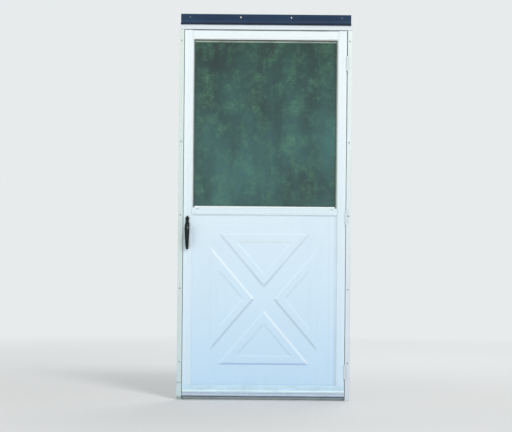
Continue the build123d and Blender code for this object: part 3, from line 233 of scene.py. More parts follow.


# Coated metal: cloudy colour, cooler towards the sill as painted skylight, grime streaks low down, painted
# shade in the creases and along seams, painted highlight lines and a fine orange peel
def coatedMetal(name, ownLook):
    look = {**coatingLook, **ownLook}
    material, shader = startMaterial(name)
    plain = objectPlace(material)
    place = objectPlace(material, look["stretch"])
    rounded = roundedEdges(material, look["edgeRadius"])

    # Height blend: on the bars a bluer colour lower down, painted skylight; on the glass strips a sharp
    # step, painted shadow below and painted highlight above
    height = spread(material, heightAbove(material), look["lowAt"], look["highAt"])
    colour = blendColour(material, height, look["lowColour"], look["highColour"])
    cloud = spread(material, noise(material, place, look["cloudScale"]), *look["cloudRange"])
    cloud = times(material, cloud, look["cloud"])
    colour = blendColour(material, cloud, colour, look["cloudColour"])

    streakPlace = objectPlace(material, look["streakStretch"])
    streak = noise(material, streakPlace, look["streakScale"], look["streakDetail"])
    splash = spread(material, heightAbove(material), look["splashTop"], 0.0)
    grimeAndShade = times(material, spread(material, streak, *look["streakRange"]), splash)
    colour = blendColour(material, times(material, grimeAndShade, look["grimeAndShade"]), colour, look["dirtAndShadeColour"])

    # Painted shade: occlusion in the creases and the seam lines darken the colour
    creaseShade = times(material, crevice(material, look["creaseShadeReach"]), look["creaseShade"])
    if "shadeSeams" in look:
        lined = seamShadeAndHighlight(material, look["shadeSeams"])
        if "shadeSeamsFrom" in look:
            reached = spread(material, heightAbove(material), *look["shadeSeamsFrom"])
            lined = times(material, lined, reached)
        creaseShade = calculate(material, "MAXIMUM", creaseShade, lined)
    colour = blendColour(material, creaseShade, colour, look["dirtAndShadeColour"])
    if "bandShades" in look:
        colour = bandShading(material, colour, look)
    # Painted highlight lines
    if "highlightLines" in look:
        colour = blendColour(material, seamShadeAndHighlight(material, look["highlightLines"]), colour, look["highlightColour"])

    worn = times(material, edgeMask(material, rounded, look["wearFrom"]), look["edgeWear"])
    patches = noise(material, plain, look["wearScale"], look["wearDetail"])
    worn = times(material, worn, spread(material, patches, *look["wearRange"]))
    colour = blendColour(material, worn, colour, look["edgeColour"])

    gloss = noise(material, place, look["shineScale"], look["shineDetail"])
    rough = spread(material, gloss, *look["shineRange"], *look["roughness"])
    peel = noise(material, plain, look["peelScale"], look["peelDetail"])
    wave = noise(material, plain, look["waveScale"], look["waveDetail"])
    normal = bumped(material, peel, look["peel"], look["peelDepth"], rounded)
    normal = bumped(material, wave, look["wave"], look["waveDepth"], normal)
    setShader(material, shader, Base_Color=colour, Roughness=rough, Normal=normal)
    setShader(material, shader, Coat_Weight=look["coat"], Coat_Roughness=look["coatRoughness"])
    setShader(material, shader, IOR=look["refraction"], Specular_IOR_Level=look["shine"])
    return material


def dress(material, *names):
    for name in names:
        for place in cadNodes[name].material_slots:
            place.material = material
    print("dressed", material.name, len(names))


# Frame bars, all one white paint: the latch rail's grey-green is painted shade, the hinge rail is a lighter
# lit copy, and all turn bluer lower down as painted skylight. Seams paint shadow in the gaps under the head
# and beside the leaf's hinge edge, and darken the latch rail near its foot
frameLook = {
    "highColour": (0.67, 0.77, 0.71), "lowColour": (0.59, 0.75, 0.785), "lowAt": 0.0, "highAt": 2.0,
    "cloudColour": (0.66, 0.72, 0.66), "cloud": 0.35, "cloudScale": 3.0, "stretch": (4, 4, 1),
    "dirtAndShadeColour": (0.2, 0.21, 0.18), "grimeAndShade": 0.12, "splashTop": 0.5, "creaseShade": 0.1, "creaseShadeReach": 0.012,
    "edgeColour": (0.9, 0.93, 0.93), "edgeWear": 0.5, "edgeRadius": 0.0008,
    "roughness": (0.34, 0.52), "peelScale": 900, "peel": 0.12, "wave": 0.05, "coat": 0.12,
}
hingeRailLook = {
    **frameLook, "highColour": (0.81, 0.91, 0.9), "lowColour": (0.68, 0.75, 0.84), "grimeAndShade": 0.04,
    "shadeSeams": (("X", 0.4437, 0.0042, 0.95),), "shadeSeamsFrom": (1.2, 1.9), "dirtAndShadeColour": (0.09, 0.11, 0.11),
}
headLook = {
    **frameLook, "highColour": (0.71, 0.775, 0.815), "cloud": 0.25, "stretch": (1, 4, 4),
    "shadeSeams": (("Z", 2.012, 0.0022, 0.9),), "dirtAndShadeColour": (0.07, 0.085, 0.085),
}
latchRailLook = {**frameLook, "shadeSeams": (("Z", 0.008, 0.016, 0.85), ("Z", 0.092, 0.006, 0.5))}
dress(coatedMetal("latchRailCoating", latchRailLook), "latch_rail")
dress(coatedMetal("hingeRailCoating", hingeRailLook), "hinge_rail")
dress(coatedMetal("headCoating", headLook), "head_rail")

# Leaf bars, all one white paint: bluer lower down as painted skylight, and a little different from bar to
# bar as painted light
leafLook = {
    "highColour": (0.8, 0.885, 0.905), "lowColour": (0.645, 0.83, 0.98), "lowAt": 0.1, "highAt": 1.5,
    "cloudColour": (0.74, 0.83, 0.88), "cloud": 0.3, "cloudScale": 2.2, "stretch": (5, 5, 0.8),
    "dirtAndShadeColour": (0.26, 0.29, 0.29), "grimeAndShade": 0.06, "splashTop": 0.45, "creaseShade": 0.25, "creaseShadeReach": 0.009,
    "edgeColour": (0.93, 0.96, 0.97), "edgeWear": 0.6, "edgeRadius": 0.0007,
    "roughness": (0.28, 0.42), "peelScale": 1000, "peel": 0.1, "wave": 0.06, "coat": 0.2,
}
railLook = {**leafLook, "stretch": (0.8, 5, 5)}
# Painted shade along the hinge stile's inner edge
hingeStileLook = {**leafLook, "shadeSeams": (("X", 0.3935, 0.0035, 0.4),), "dirtAndShadeColour": (0.3, 0.36, 0.33)}
# Top rail: painted shadow in the gap along its top, and a painted highlight line above the glass
topRailLook = {
    **railLook, "highColour": (0.78, 0.855, 0.86), "creaseShade": 0.1, "shadeSeams": (("Z", 2.0085, 0.0042, 0.95),),
    "dirtAndShadeColour": (0.1, 0.125, 0.13), "grimeAndShade": 0.0,
    "highlightLines": (("Z", 1.9655, 0.004, 1.0),), "highlightColour": (0.95, 1.0, 1.0),
}
# Lock rail: strong painted shade in its creases
lockRailLook = {
    **railLook, "highColour": (0.765, 0.86, 0.885), "creaseShade": 0.75, "creaseShadeReach": 0.005,
    "dirtAndShadeColour": (0.1, 0.13, 0.13),
}
lowRailLook = {
    **railLook, "highColour": (0.615, 0.86, 1.0), "lowColour": (0.615, 0.86, 1.0),
    "cloudColour": (0.6, 0.82, 0.98), "creaseShade": 0.1, "grimeAndShade": 0.02,
}
# Expander: darker below its ridge as painted shade, with painted shadow lines at two heights and a painted
# highlight line along the ridge
expanderLook = {
    **lowRailLook, "lowColour": (0.56, 0.69, 0.85), "lowAt": 0.0395, "highAt": 0.043,
    "highlightLines": (("Z", 0.047, 0.005, 1.0),), "highlightColour": (0.84, 1.0, 1.0),
    "cloudColour": (0.45, 0.53, 0.62), "cloud": 0.4, "cloudScale": 14, "stretch": (1, 4, 4), "grimeAndShade": 0.15,
    "shadeSeams": (("Z", 0.0365, 0.0045, 0.45), ("Z", 0.0205, 0.005, 0.8)), "dirtAndShadeColour": (0.2, 0.24, 0.28),
}
dress(coatedMetal("latchStileCoating", leafLook), "latch_stile")
dress(coatedMetal("hingeStileCoating", hingeStileLook), "hinge_stile")
dress(coatedMetal("topRailCoating", topRailLook), "top_rail")
dress(coatedMetal("lockRailCoating", lockRailLook), "lock_rail")
dress(coatedMetal("lowRailCoating", lowRailLook), "bottom_rail")
dress(coatedMetal("expanderCoating", expanderLook), "bottom_expander")

# Pressed panel: the sheet's light waviness shows in its shine
# The panel turns bluer lower down as painted skylight, seams paint shadow along its hinge-side edge, and
# its pressed bands carry painted light and shade set by the way their slopes face
panelLook = {
    **leafLook, "highColour": (0.72, 0.855, 0.925), "lowColour": (0.555, 0.77, 0.965), "highAt": 1.0,
    "cloudColour": (0.6, 0.74, 0.86), "cloud": 0.35, "cloudScale": 2.6, "stretch": (1, 1, 1),
    "edgeRadius": 0.003, "edgeWear": 0.1, "creaseShade": 0.2, "creaseShadeReach": 0.014,
    "roughness": (0.42, 0.56), "wave": 0.2, "coat": 0.05,
    "shadeSeams": (("X", 0.3845, 0.0035, 0.3), ("X", 0.353, 0.0045, 0.07)),
    "crossHeight": 0.549, "crossAngle": 49.7, "crossReach": (0.055, 0.068),
    "shadeThinsFrom": (0.66, 0.74), "upperShadeShare": 0.45, "footFrom": (0.26, 0.22),
    "slantRange": (0.08, 0.18), "levelRange": (0.02, 0.08), "turnRange": (0.06, 0.16),
    "bandShades": (
        ("slanting", -1, 0.26, (0.3, 0.37, 0.42)), ("rightward", 1, 0.35, (0.95, 1.0, 1.0)),
        ("level", -1, 0.35, (0.9, 1.0, 1.0)), ("level", 1, 0.25, (0.5, 0.6, 0.68)),
        ("foot", -1, 0.54, (0.3, 0.455, 0.77)),
    ),  # which slopes, looking up (1) or down (-1), strength and tint
}
dress(coatedMetal("panelCoating", panelLook), "kick_panel_face", "kick_panel_back")

# Strips that hold the glass, coloured as painted light: the side strips dark grey-green as painted shadow
# with near-white top ends, the top strip near-black as painted shadow under a white band of painted
# highlight, the sill strip a lighter lit copy, and seams paint shadow along the side strips
insertLook = {
    **leafLook, "highColour": (0.95, 0.99, 0.98), "lowColour": (0.24, 0.3, 0.27),
    "lowAt": 1.9565, "highAt": 1.958, "cloud": 0.15, "cloudColour": (0.2, 0.26, 0.23),
    "creaseShade": 0.2, "creaseShadeReach": 0.01, "edgeWear": 0.2, "coat": 0.05, "dirtAndShadeColour": (0.02, 0.035, 0.03),
    "shadeSeams": (("X", 0.3835, 0.005, 0.8), ("X", -0.3835, 0.005, 0.8)),
}
insertTopLook = {
    **insertLook, "highColour": (1.0, 1.0, 1.0), "lowColour": (0.03, 0.05, 0.04), "cloud": 0.0,
    "lowAt": 1.9572, "highAt": 1.9584, "creaseShade": 0.1, "shadeSeams": (),
}
sillLook = {**insertLook, "lowColour": (0.86, 0.93, 0.93), "cloudColour": (0.8, 0.87, 0.88), "creaseShade": 0.4}
dress(coatedMetal("insertCoating", insertLook), "insert_left", "insert_right")
dress(coatedMetal("insertTopCoating", insertTopLook), "insert_top")
dress(coatedMetal("insertSillCoating", sillLook), "insert_bottom")
dress(coatedMetal("retainerCoating", leafLook), "insert_retainers", "panel_retainers")

# Strip of dark blue flashing over the head, with painted shade in its creases and darker along its lower
# edge
flashingLook = {
    **frameLook, "highColour": (0.0125, 0.032, 0.071), "lowColour": (0.0125, 0.032, 0.071),
    "cloudColour": (0.026, 0.058, 0.11), "cloud": 0.7, "stretch": (1, 9, 9),
    "dirtAndShadeColour": (0.006, 0.009, 0.016), "creaseShade": 0.6, "creaseShadeReach": 0.02,
    "edgeColour": (0.1, 0.15, 0.24), "shine": 0.2, "roughness": (0.5, 0.7), "peel": 0.15, "coat": 0.0,
    "shadeSeams": (("Z", 2.038, 0.016, 0.75),),
}
dress(coatedMetal("navyCoating", flashingLook), "head_flashing")

# Hinges and the closer's tube
hingeLook = {
    **leafLook, "highColour": (0.7, 0.77, 0.79), "lowColour": (0.66, 0.75, 0.8), "stretch": (6, 6, 6),
    "edgeColour": (0.5, 0.5, 0.48), "edgeWear": 0.5, "edgeRadius": 0.0005, "creaseShade": 0.15,
    "creaseShadeReach": 0.004,
}
closerLook = {
    **hingeLook, "highColour": (0.78, 0.84, 0.84), "lowColour": (0.78, 0.84, 0.84), "coat": 0.5,
    "roughness": (0.2, 0.32),
}
hingeCoating = coatedMetal("hingeCoating", hingeLook)
for hingeName in hingeNames:
    leaves = (f"{hingeName}_frame_hinge_leaf", f"{hingeName}_door_hinge_leaf")
    dress(hingeCoating, *leaves, f"{hingeName}_hinge_pin")
closerCoating = coatedMetal("closerCoating", closerLook)
dress(closerCoating, "closer_tube", "closer_end_cap", "jamb_bracket", "closer_door_bracket")


# Black castings: smooth gloss with rubbed edges and a little painted shade in the creases
def blackPaint(name, look):
    material, shader = startMaterial(name)
    plain = objectPlace(material)
    rounded = roundedEdges(material, look["edgeRadius"])
    mottled = noise(material, plain, look["mottleScale"], look["mottleDetail"])
    mottled = spread(material, mottled, *look["mottleRange"])
    colour = blendColour(material, mottled, look["colour"], look["greyed"])
    rubbed = times(material, edgeMask(material, rounded, look["rubFrom"]), look["edgeWear"])
    patches = spread(material, noise(material, plain, look["rubScale"]), *look["rubRange"])
    colour = blendColour(material, times(material, rubbed, patches), colour, look["edgeColour"])
    creaseShade = times(material, crevice(material, look["creaseShadeReach"]), look["creaseShade"])
    colour = blendColour(material, creaseShade, colour, look["creaseShadeColour"])
    gloss = noise(material, plain, look["shineScale"], look["shineDetail"])
    rough = spread(material, gloss, *look["shineRange"], *look["roughness"])
    skin = noise(material, plain, look["skinScale"], look["skinDetail"])
    normal = bumped(material, skin, look["skin"], look["skinDepth"], rounded)
    setShader(material, shader, Base_Color=colour, Roughness=rough, Normal=normal)
    setShader(material, shader, Coat_Weight=look["coat"], Coat_Roughness=look["coatRoughness"])
    setShader(material, shader, Specular_IOR_Level=look["shine"])
    return material


handleLook = {
    "colour": (0.003, 0.007, 0.007), "greyed": (0.006, 0.011, 0.011), "edgeColour": (0.05, 0.06, 0.06),
    "mottleScale": 55, "mottleDetail": 5, "mottleRange": (0.35, 0.7),
    "edgeWear": 0.5, "edgeRadius": 0.0009, "rubFrom": 0.7, "rubScale": 160, "rubRange": (0.4, 0.7),
    "creaseShadeColour": (0.012, 0.015, 0.014), "creaseShadeReach": 0.006, "creaseShade": 0.5,
    "shineScale": 120, "shineDetail": 4, "shineRange": (0.3, 0.7), "roughness": (0.4, 0.55),
    "skin": 0.1, "skinScale": 1500, "skinDetail": 2, "skinDepth": 0.0003,
    "coat": 0.06, "coatRoughness": 0.08, "shine": 0.25,
}
caseLook = {
    **handleLook, "colour": (0.006, 0.011, 0.011), "greyed": (0.012, 0.019, 0.019),
    "edgeColour": (0.12, 0.14, 0.14), "roughness": (0.38, 0.55), "skin": 0.35, "coat": 0.0, "shine": 0.5,
}
dress(blackPaint("handlePaint", handleLook), "pull_handle", "push_button")
dress(blackPaint("casePaint", caseLook), "latch_case", "inside_lever", "lock_snib")


# Plated steel: brushed grain, spots of dulled plating and painted shade in its creases. Where a look asks,
# a second colour covers it from a given distance out along X.
def platedSteel(name, look):
    material, shader = startMaterial(name)
    rounded = roundedEdges(material, look["edgeRadius"])
    spots = noise(material, objectPlace(material), look["spotScale"], look["spotDetail"])
    spots = spread(material, spots, *look["spotRange"])
    colour = blendColour(material, spots, look["colour"], look["dulled"])
    grimeAndShade = times(material, crevice(material, look["steelCreaseShadeReach"]), look["steelCreaseShadeShare"])
    colour = blendColour(material, grimeAndShade, colour, look["grimeAndShade"])
    if "outerColour" in look:
        outward = spread(material, sizeOf(material, placeAxes(material)["X"]), *look["outerFrom"])
        colour = blendColour(material, outward, colour, look["outerColour"])
    brushed = objectPlace(material, look["brush"])
    gloss = noise(material, brushed, look["shineScale"], look["shineDetail"])
    rough = spread(material, gloss, *look["shineRange"], *look["roughness"])
    grain = noise(material, brushed, look["grainScale"], look["grainDetail"])
    normal = bumped(material, grain, look["grain"], look["grainDepth"], rounded)
    setShader(material, shader, Base_Color=colour, Roughness=rough, Normal=normal)
    setShader(material, shader, Metallic=look["metallic"])
    return material


steelLook = {
    "colour": (0.62, 0.63, 0.62), "dulled": (0.42, 0.42, 0.4), "edgeRadius": 0.0003,
    "spotScale": 240, "spotDetail": 5, "spotRange": (0.45, 0.7),
    "grimeAndShade": (0.08, 0.075, 0.07), "steelCreaseShadeReach": 0.002, "steelCreaseShadeShare": 0.8, "brush": (1, 1, 1),
    "shineScale": 300, "shineDetail": 3, "shineRange": (0.3, 0.7), "roughness": (0.26, 0.44),
    "grainScale": 900, "grainDetail": 2, "grain": 0.12, "grainDepth": 0.0002, "metallic": 1.0,
}
rodLook = {**steelLook, "colour": (0.75, 0.76, 0.77), "brush": (0.05, 1, 1), "roughness": (0.08, 0.2)}
paintedLook = {**steelLook, "metallic": 0.0, "colour": (0.8, 0.84, 0.84), "dulled": (0.6, 0.63, 0.6)}
dullLook = {**paintedLook, "colour": (0.42, 0.45, 0.44), "dulled": (0.22, 0.24, 0.23)}
flashingScrewLook = {
    **paintedLook, "colour": (0.85, 0.9, 0.9), "dulled": (0.7, 0.75, 0.74),
    "outerColour": (0.06, 0.1, 0.12), "outerFrom": (0.25, 0.4, 0.0, 0.85),
}
steel = platedSteel("platedSteel", steelLook)
paintedScrew = platedSteel("paintedScrew", paintedLook)
flashingScrew = platedSteel("flashingScrew", flashingScrewLook)
dullScrew = platedSteel("dullScrew", dullLook)
dress(steel, "latch_bolt", "cam_spindle", "lever_spring", "strike_plate", "jamb_pin", "closer_eye_pin")
dress(steel, "hold_open_washer", "closer_piston", "corner_screws")
dress(platedSteel("polishedRod", rodLook), "closer_rod")

# Tinted glass: a dark green-grey tint under a clean gloss, with faint wipe marks. Its soft mottling, green
# flecks and lighter lower part are painted reflection, with painted shade near the edges and a painted
# highlight line under the top gasket
glassLook = {
    "topColour": (0.007, 0.05, 0.037), "lowColour": (0.037, 0.138, 0.13), "fadeFrom": (1.4, 1.95),
    "cloudColour": (0.004, 0.018, 0.017), "cloud": 0.75, "cloudStretch": (1.6, 1, 0.7),
    "cloudScale": 3.2, "cloudDetail": 3, "cloudRange": (0.35, 0.68),
    "bloomColour": (0.078, 0.235, 0.13), "bloom": 0.82, "bloomStretch": (1.2, 1, 1.0),
    "bloomScale": 9, "bloomDetail": 9, "bloomRough": 0.75, "bloomRange": (0.47, 0.68),
    "fleckStretch": (1, 1, 1.4), "fleckScale": 42, "fleckDetail": 5, "fleckRough": 0.7,
    "fleckRange": (0.4, 0.62), "fleckLeast": 0.3,
    "creaseShadeColour": (0.012, 0.03, 0.026), "creaseShade": 0.5, "creaseShadeReach": 0.03,
    "highlightLines": (("Z", 1.9465, 0.0042, 0.9),), "highlightColour": (0.5, 0.62, 0.52),
    "wipeStretch": (3, 1, 1), "wipeScale": 7, "wipeDetail": 6, "wipeRange": (0.35, 0.75),
    "wipeRoughness": (0.02, 0.09), "drawnStretch": (1, 1, 0.25), "drawnScale": 2.0, "drawnDetail": 1,
    "drawn": 0.08, "drawnDepth": 0.004, "refraction": 1.52, "seeThrough": 0.06,
    "coat": 0.25, "coatRoughness": 0.02,
}


def tintedGlass(name, look):
    material, shader = startMaterial(name)
    height = spread(material, heightAbove(material), *look["fadeFrom"])
    colour = blendColour(material, height, look["lowColour"], look["topColour"])

    cloudPlace = objectPlace(material, look["cloudStretch"])
    cloud = noise(material, cloudPlace, look["cloudScale"], look["cloudDetail"])
    cloud = times(material, spread(material, cloud, *look["cloudRange"]), look["cloud"])
    colour = blendColour(material, cloud, colour, look["cloudColour"])

    bloomPlace = objectPlace(material, look["bloomStretch"])
    bloom = noise(material, bloomPlace, look["bloomScale"], look["bloomDetail"], look["bloomRough"])
    fleckPlace = objectPlace(material, look["fleckStretch"])
    flecks = noise(material, fleckPlace, look["fleckScale"], look["fleckDetail"], look["fleckRough"])
    flecks = spread(material, flecks, *look["fleckRange"], look["fleckLeast"], 1.0)
    bloom = times(material, spread(material, bloom, *look["bloomRange"]), flecks)
    colour = blendColour(material, times(material, bloom, look["bloom"]), colour, look["bloomColour"])

    creaseShade = times(material, crevice(material, look["creaseShadeReach"]), look["creaseShade"])
    colour = blendColour(material, creaseShade, colour, look["creaseShadeColour"])
    colour = blendColour(material, seamShadeAndHighlight(material, look["highlightLines"]), colour, look["highlightColour"])

    wipePlace = objectPlace(material, look["wipeStretch"])
    wipe = noise(material, wipePlace, look["wipeScale"], look["wipeDetail"])
    rough = spread(material, wipe, *look["wipeRange"], *look["wipeRoughness"])
    drawnPlace = objectPlace(material, look["drawnStretch"])
    drawn = noise(material, drawnPlace, look["drawnScale"], look["drawnDetail"])
    plain = addNode(material, "ShaderNodeNewGeometry").outputs["Normal"]
    normal = bumped(material, drawn, look["drawn"], look["drawnDepth"], plain)
    setShader(material, shader, Base_Color=colour, Roughness=rough, Normal=normal)
    setShader(material, shader, IOR=look["refraction"], Transmission_Weight=look["seeThrough"])
    setShader(material, shader, Coat_Weight=look["coat"], Coat_Roughness=look["coatRoughness"])
    return material


dress(tintedGlass("tintedGlass", glassLook), "glass_pane")


# Rubber, brush pile and board
def softStrip(name, look):
    material, shader = startMaterial(name)
    place = objectPlace(material, look["stretch"])
    patches = noise(material, place, look["scale"], look["patchDetail"])
    patches = spread(material, patches, *look["patchRange"])
    colour = blendColour(material, patches, look["colour"], look["faded"])
    # Painted shade in the creases and along the seams
    stripShade = times(material, crevice(material, look["stripShadeReach"]), look["stripShadeShare"])
    if "shadeSeams" in look:
        stripShade = calculate(material, "MAXIMUM", stripShade, seamShadeAndHighlight(material, look["shadeSeams"]))
    colour = blendColour(material, stripShade, colour, look["stripShade"])
    # Painted highlight lines
    if "highlightLines" in look:
        colour = blendColour(material, seamShadeAndHighlight(material, look["highlightLines"]), colour, look["highlightColour"])
    grain = noise(material, place, look["grain"], look["grainDetail"])
    plain = roundedEdges(material, look["edgeRadius"])
    normal = bumped(material, grain, look["bump"], look["bumpDepth"], plain)
    setShader(material, shader, Base_Color=colour, Normal=normal)
    setShader(material, shader, Roughness=look["roughness"], Sheen_Weight=look["sheen"])
    return material


gasketLook = {
    "colour": (0.05, 0.07, 0.06), "faded": (0.09, 0.12, 0.1), "stretch": (1, 1, 1), "scale": 30,
    "patchDetail": 6, "patchRange": (0.3, 0.7),
    "stripShade": (0.012, 0.018, 0.015), "stripShadeReach": 0.006, "stripShadeShare": 0.6,
    "grain": 500, "grainDetail": 3, "bump": 0.2, "bumpDepth": 0.001, "edgeRadius": 0.0004,
    "roughness": 0.6, "sheen": 0.0,
}
# A painted highlight line along the top of the glazing gasket
glazingLook = {
    **gasketLook, "highlightLines": (("Z", 1.9495, 0.005, 1.0),), "highlightColour": (0.86, 0.96, 0.87),
}
# The sweep's seams paint a contact shadow at the floor and a shadow line near its top
sweepLook = {
    **gasketLook, "colour": (0.27, 0.33, 0.345), "faded": (0.36, 0.42, 0.43), "stripShade": (0.03, 0.06, 0.08),
    "stretch": (0.4, 3, 3), "shadeSeams": (("Z", 0.001, 0.008, 1.0), ("Z", 0.018, 0.004, 0.8)),
}
pileLook = {
    **gasketLook, "colour": (0.5, 0.52, 0.52), "faded": (0.6, 0.62, 0.62), "stripShade": (0.3, 0.32, 0.32),
    "grain": 1800, "bump": 0.9, "roughness": 0.95, "sheen": 0.6,
}
boardLook = {
    **gasketLook, "colour": (0.42, 0.29, 0.17), "faded": (0.56, 0.42, 0.27), "scale": 120, "grain": 700,
    "bump": 0.5, "roughness": 0.85,
}
dress(softStrip("gasketRubber", glazingLook), "glazing_gasket")
dress(softStrip("sweepVinyl", sweepLook), "bottom_sweep")
dress(softStrip("pileBrush", pileLook), "pile_strips")
dress(softStrip("coreBoard", boardLook), "kick_panel_core")

# Screws of every set, in shares of their own head, and metres for thread, point and weld
screwLook = {
    "weld": 0.00001, "around": 40,
    "headShares": (0.04, 0.1, 0.16, 0.26, 0.36, 0.46, 0.56, 0.66, 0.78, 0.9, 1.0),
    "crownDrop": 0.75, "crownPower": 4, "crossLength": 0.6, "crossWidth": 0.14, "crossTaper": 0.35,
    "crossDepth": 0.62, "crossRise": 0.5, "shankShare": 0.5, "aroundShank": 16, "threadPitch": 0.0013,
    "threadShare": 0.16, "turnSteps": 6, "leastSteps": 4, "pointLength": 0.003, "pointShare": 0.25,
    "spin": 1.1, "smoothAngle": 35,
}


# Where each screw of a CAD node stands: its loose solids' boxes
def looseBoxes(name):
    mesh = bmesh.new()
    mesh.from_mesh(cadNodes[name].data)
    bmesh.ops.remove_doubles(mesh, verts=mesh.verts, dist=screwLook["weld"])
    waiting, boxes = set(mesh.verts), []
    while waiting:
        found, edge = set(), [waiting.pop()]
        while edge:
            vertex = edge.pop()
            found.add(vertex)
            for link in vertex.link_edges:
                other = link.other_vert(vertex)
                if other in waiting:
                    waiting.discard(other)
                    edge.append(other)
        low = Vector([min(v.co[axis] for v in found) for axis in range(3)])
        high = Vector([max(v.co[axis] for v in found) for axis in range(3)])
        boxes.append((low, high))
    mesh.free()
    return boxes


def circle(radius, count):
    angles = [2 * math.pi * step / count for step in range(count)]
    return [(radius * math.cos(angle), radius * math.sin(angle)) for angle in angles]


# Height of a point on the head's face, from its crown at z = 0 down into the cross recess
def headFace(x, y, share, headRadius, headHeight, flush):
    look = screwLook
    z = 0.0 if flush else -headHeight * look["crownDrop"] * share ** look["crownPower"]
    arm = headRadius * look["crossLength"]
    slim = headRadius * look["crossWidth"] * (1 - look["crossTaper"] * share)
    if (abs(x) < slim and abs(y) < arm) or (abs(y) < slim and abs(x) < arm):
        z -= headHeight * look["crossDepth"] * (1 - look["crossRise"] * share / look["crossLength"])
    return z


# One screw along -Z with its head's crown at z = 0, and a rolled thread
def addScrew(mesh, place, turn, headRadius, headHeight, shankRadius, length, flush):
    look = screwLook

    def addRing(points):
        return [mesh.verts.new(place + turn @ Vector(point)) for point in points]

    rings = []
    for share in look["headShares"]:
        flat = circle(share * headRadius, look["around"])
        rings.append([(x, y, headFace(x, y, share, headRadius, headHeight, flush)) for x, y in flat])
    if not flush:
        rings.append([(x, y, -headHeight) for x, y, z in rings[-1]])
    rings.append([(x, y, -headHeight) for x, y in circle(shankRadius, look["around"])])
    closeRings(mesh, [addRing(ring) for ring in rings])

    turns = (length - headHeight) / look["threadPitch"]
    steps = max(look["leastSteps"], int(turns * look["turnSteps"]))
    shank, count = [], look["aroundShank"]
    for index in range(steps + 1):
        depth = headHeight + (length - headHeight) * index / steps
        pointed = min(1.0, look["pointShare"] + (length - depth) / look["pointLength"])
        ring = []
        for step, (x, y) in enumerate(circle(shankRadius * pointed, count)):
            phase = (depth / look["threadPitch"] + step / count) % 1
            cut = 1 - look["threadShare"] * abs(2 * phase - 1)
            ring.append((x * cut, y * cut, -depth))
        shank.append(addRing(ring))
    closeRings(mesh, shank)


def closeRings(mesh, rings):
    for first, second in zip(rings, rings[1:]):
        for index in range(len(first)):
            after = (index + 1) % len(first)
            mesh.faces.new((first[index], second[index], second[after], first[after]))
    mesh.faces.new(rings[0][::-1])
    mesh.faces.new(rings[-1])


# Replaces a node of screws. Heads face against the drive direction, and the drive is along one axis
def buildScrews(pieceName, node, drive, body, slotName, material, headHeight, flush=False):
    mesh = bmesh.new()
    axis = max(range(3), key=lambda i: abs(drive[i]))
    turn = Vector(drive).to_track_quat("-Z", "Y").to_matrix()
    for index, (low, high) in enumerate(looseBoxes(node)):
        place = (low + high) / 2
        place[axis] = low[axis] if drive[axis] > 0 else high[axis]
        across = [high[i] - low[i] for i in range(3) if i != axis]
        headRadius, length = across[0] / 2, high[axis] - low[axis]
        spin = Matrix.Rotation(index * screwLook["spin"], 3, Vector((0, 0, 1)))
        shankRadius = headRadius * screwLook["shankShare"]
        addScrew(mesh, place, turn @ spin, headRadius, headHeight, shankRadius, length, flush)
    bmesh.ops.recalc_face_normals(mesh, faces=mesh.faces)
    finishPiece(pieceName, mesh, body, slotName, material, node)


def finishPiece(pieceName, mesh, body, slotName, material, *replaced):
    data = bpy.data.meshes.new(pieceName)
    mesh.to_mesh(data)
    mesh.free()
    piece = bpy.data.objects.new(pieceName, data)
    bpy.context.scene.collection.objects.link(piece)
    data.materials.append(material)
    for face in data.polygons:
        face.use_smooth = True
    data.set_sharp_from_angle(angle=math.radians(screwLook["smoothAngle"]))
    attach(piece, body)
    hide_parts(*replaced)
    print("built", pieceName, len(data.polygons))


into = (0, 1, 0)
outOf = (0, -1, 0)
toHinge = (1, 0, 0)
fromHinge = (-1, 0, 0)
buildScrews("railScrewSet", "rail_screws", into, "surround", "white_screw", dullScrew, 0.002)
buildScrews("flashingScrewSet", "flashing_screws", into, "surround", "white_screw", flashingScrew, 0.002)
buildScrews("expanderScrewSet", "expander_screws", into, "leaf", "white_screw", paintedScrew, 0.0014)
buildScrews("stopScrewSet", "stop_screws", outOf, "surround", "screw", steel, 0.0014)
buildScrews("bracketScrewSet", "door_bracket_screws", outOf, "leaf", "screw", steel, 0.0014)
buildScrews("latchScrewSet", "latch_screws", outOf, "leaf", "screw", steel, 0.002)
buildScrews("frameHingeScrewSet", "frame_hinge_screws", toHinge, "surround", "screw", steel, 0.0012, True)
buildScrews("doorHingeScrewSet", "door_hinge_screws", fromHinge, "leaf", "screw", steel, 0.0012, True)


# Stage: a pale floor that runs out into the pale background, soft studio lights and the camera
stageLook = {
    "paleColour": (0.80, 0.83, 0.84), "worldLight": 0.62, "fadeFrom": 1.2, "fadeTo": 5.5,
    "floorColour": (0.62, 0.63, 0.63), "fibreColour": (0.65, 0.66, 0.66), "fibreScale": 60,
    "fibreDetail": 3, "fibreRange": (0.3, 0.7), "floorRoughness": 0.9, "floorSize": 60,
    "floorCells": 8, "floorGap": 0.0005,
}


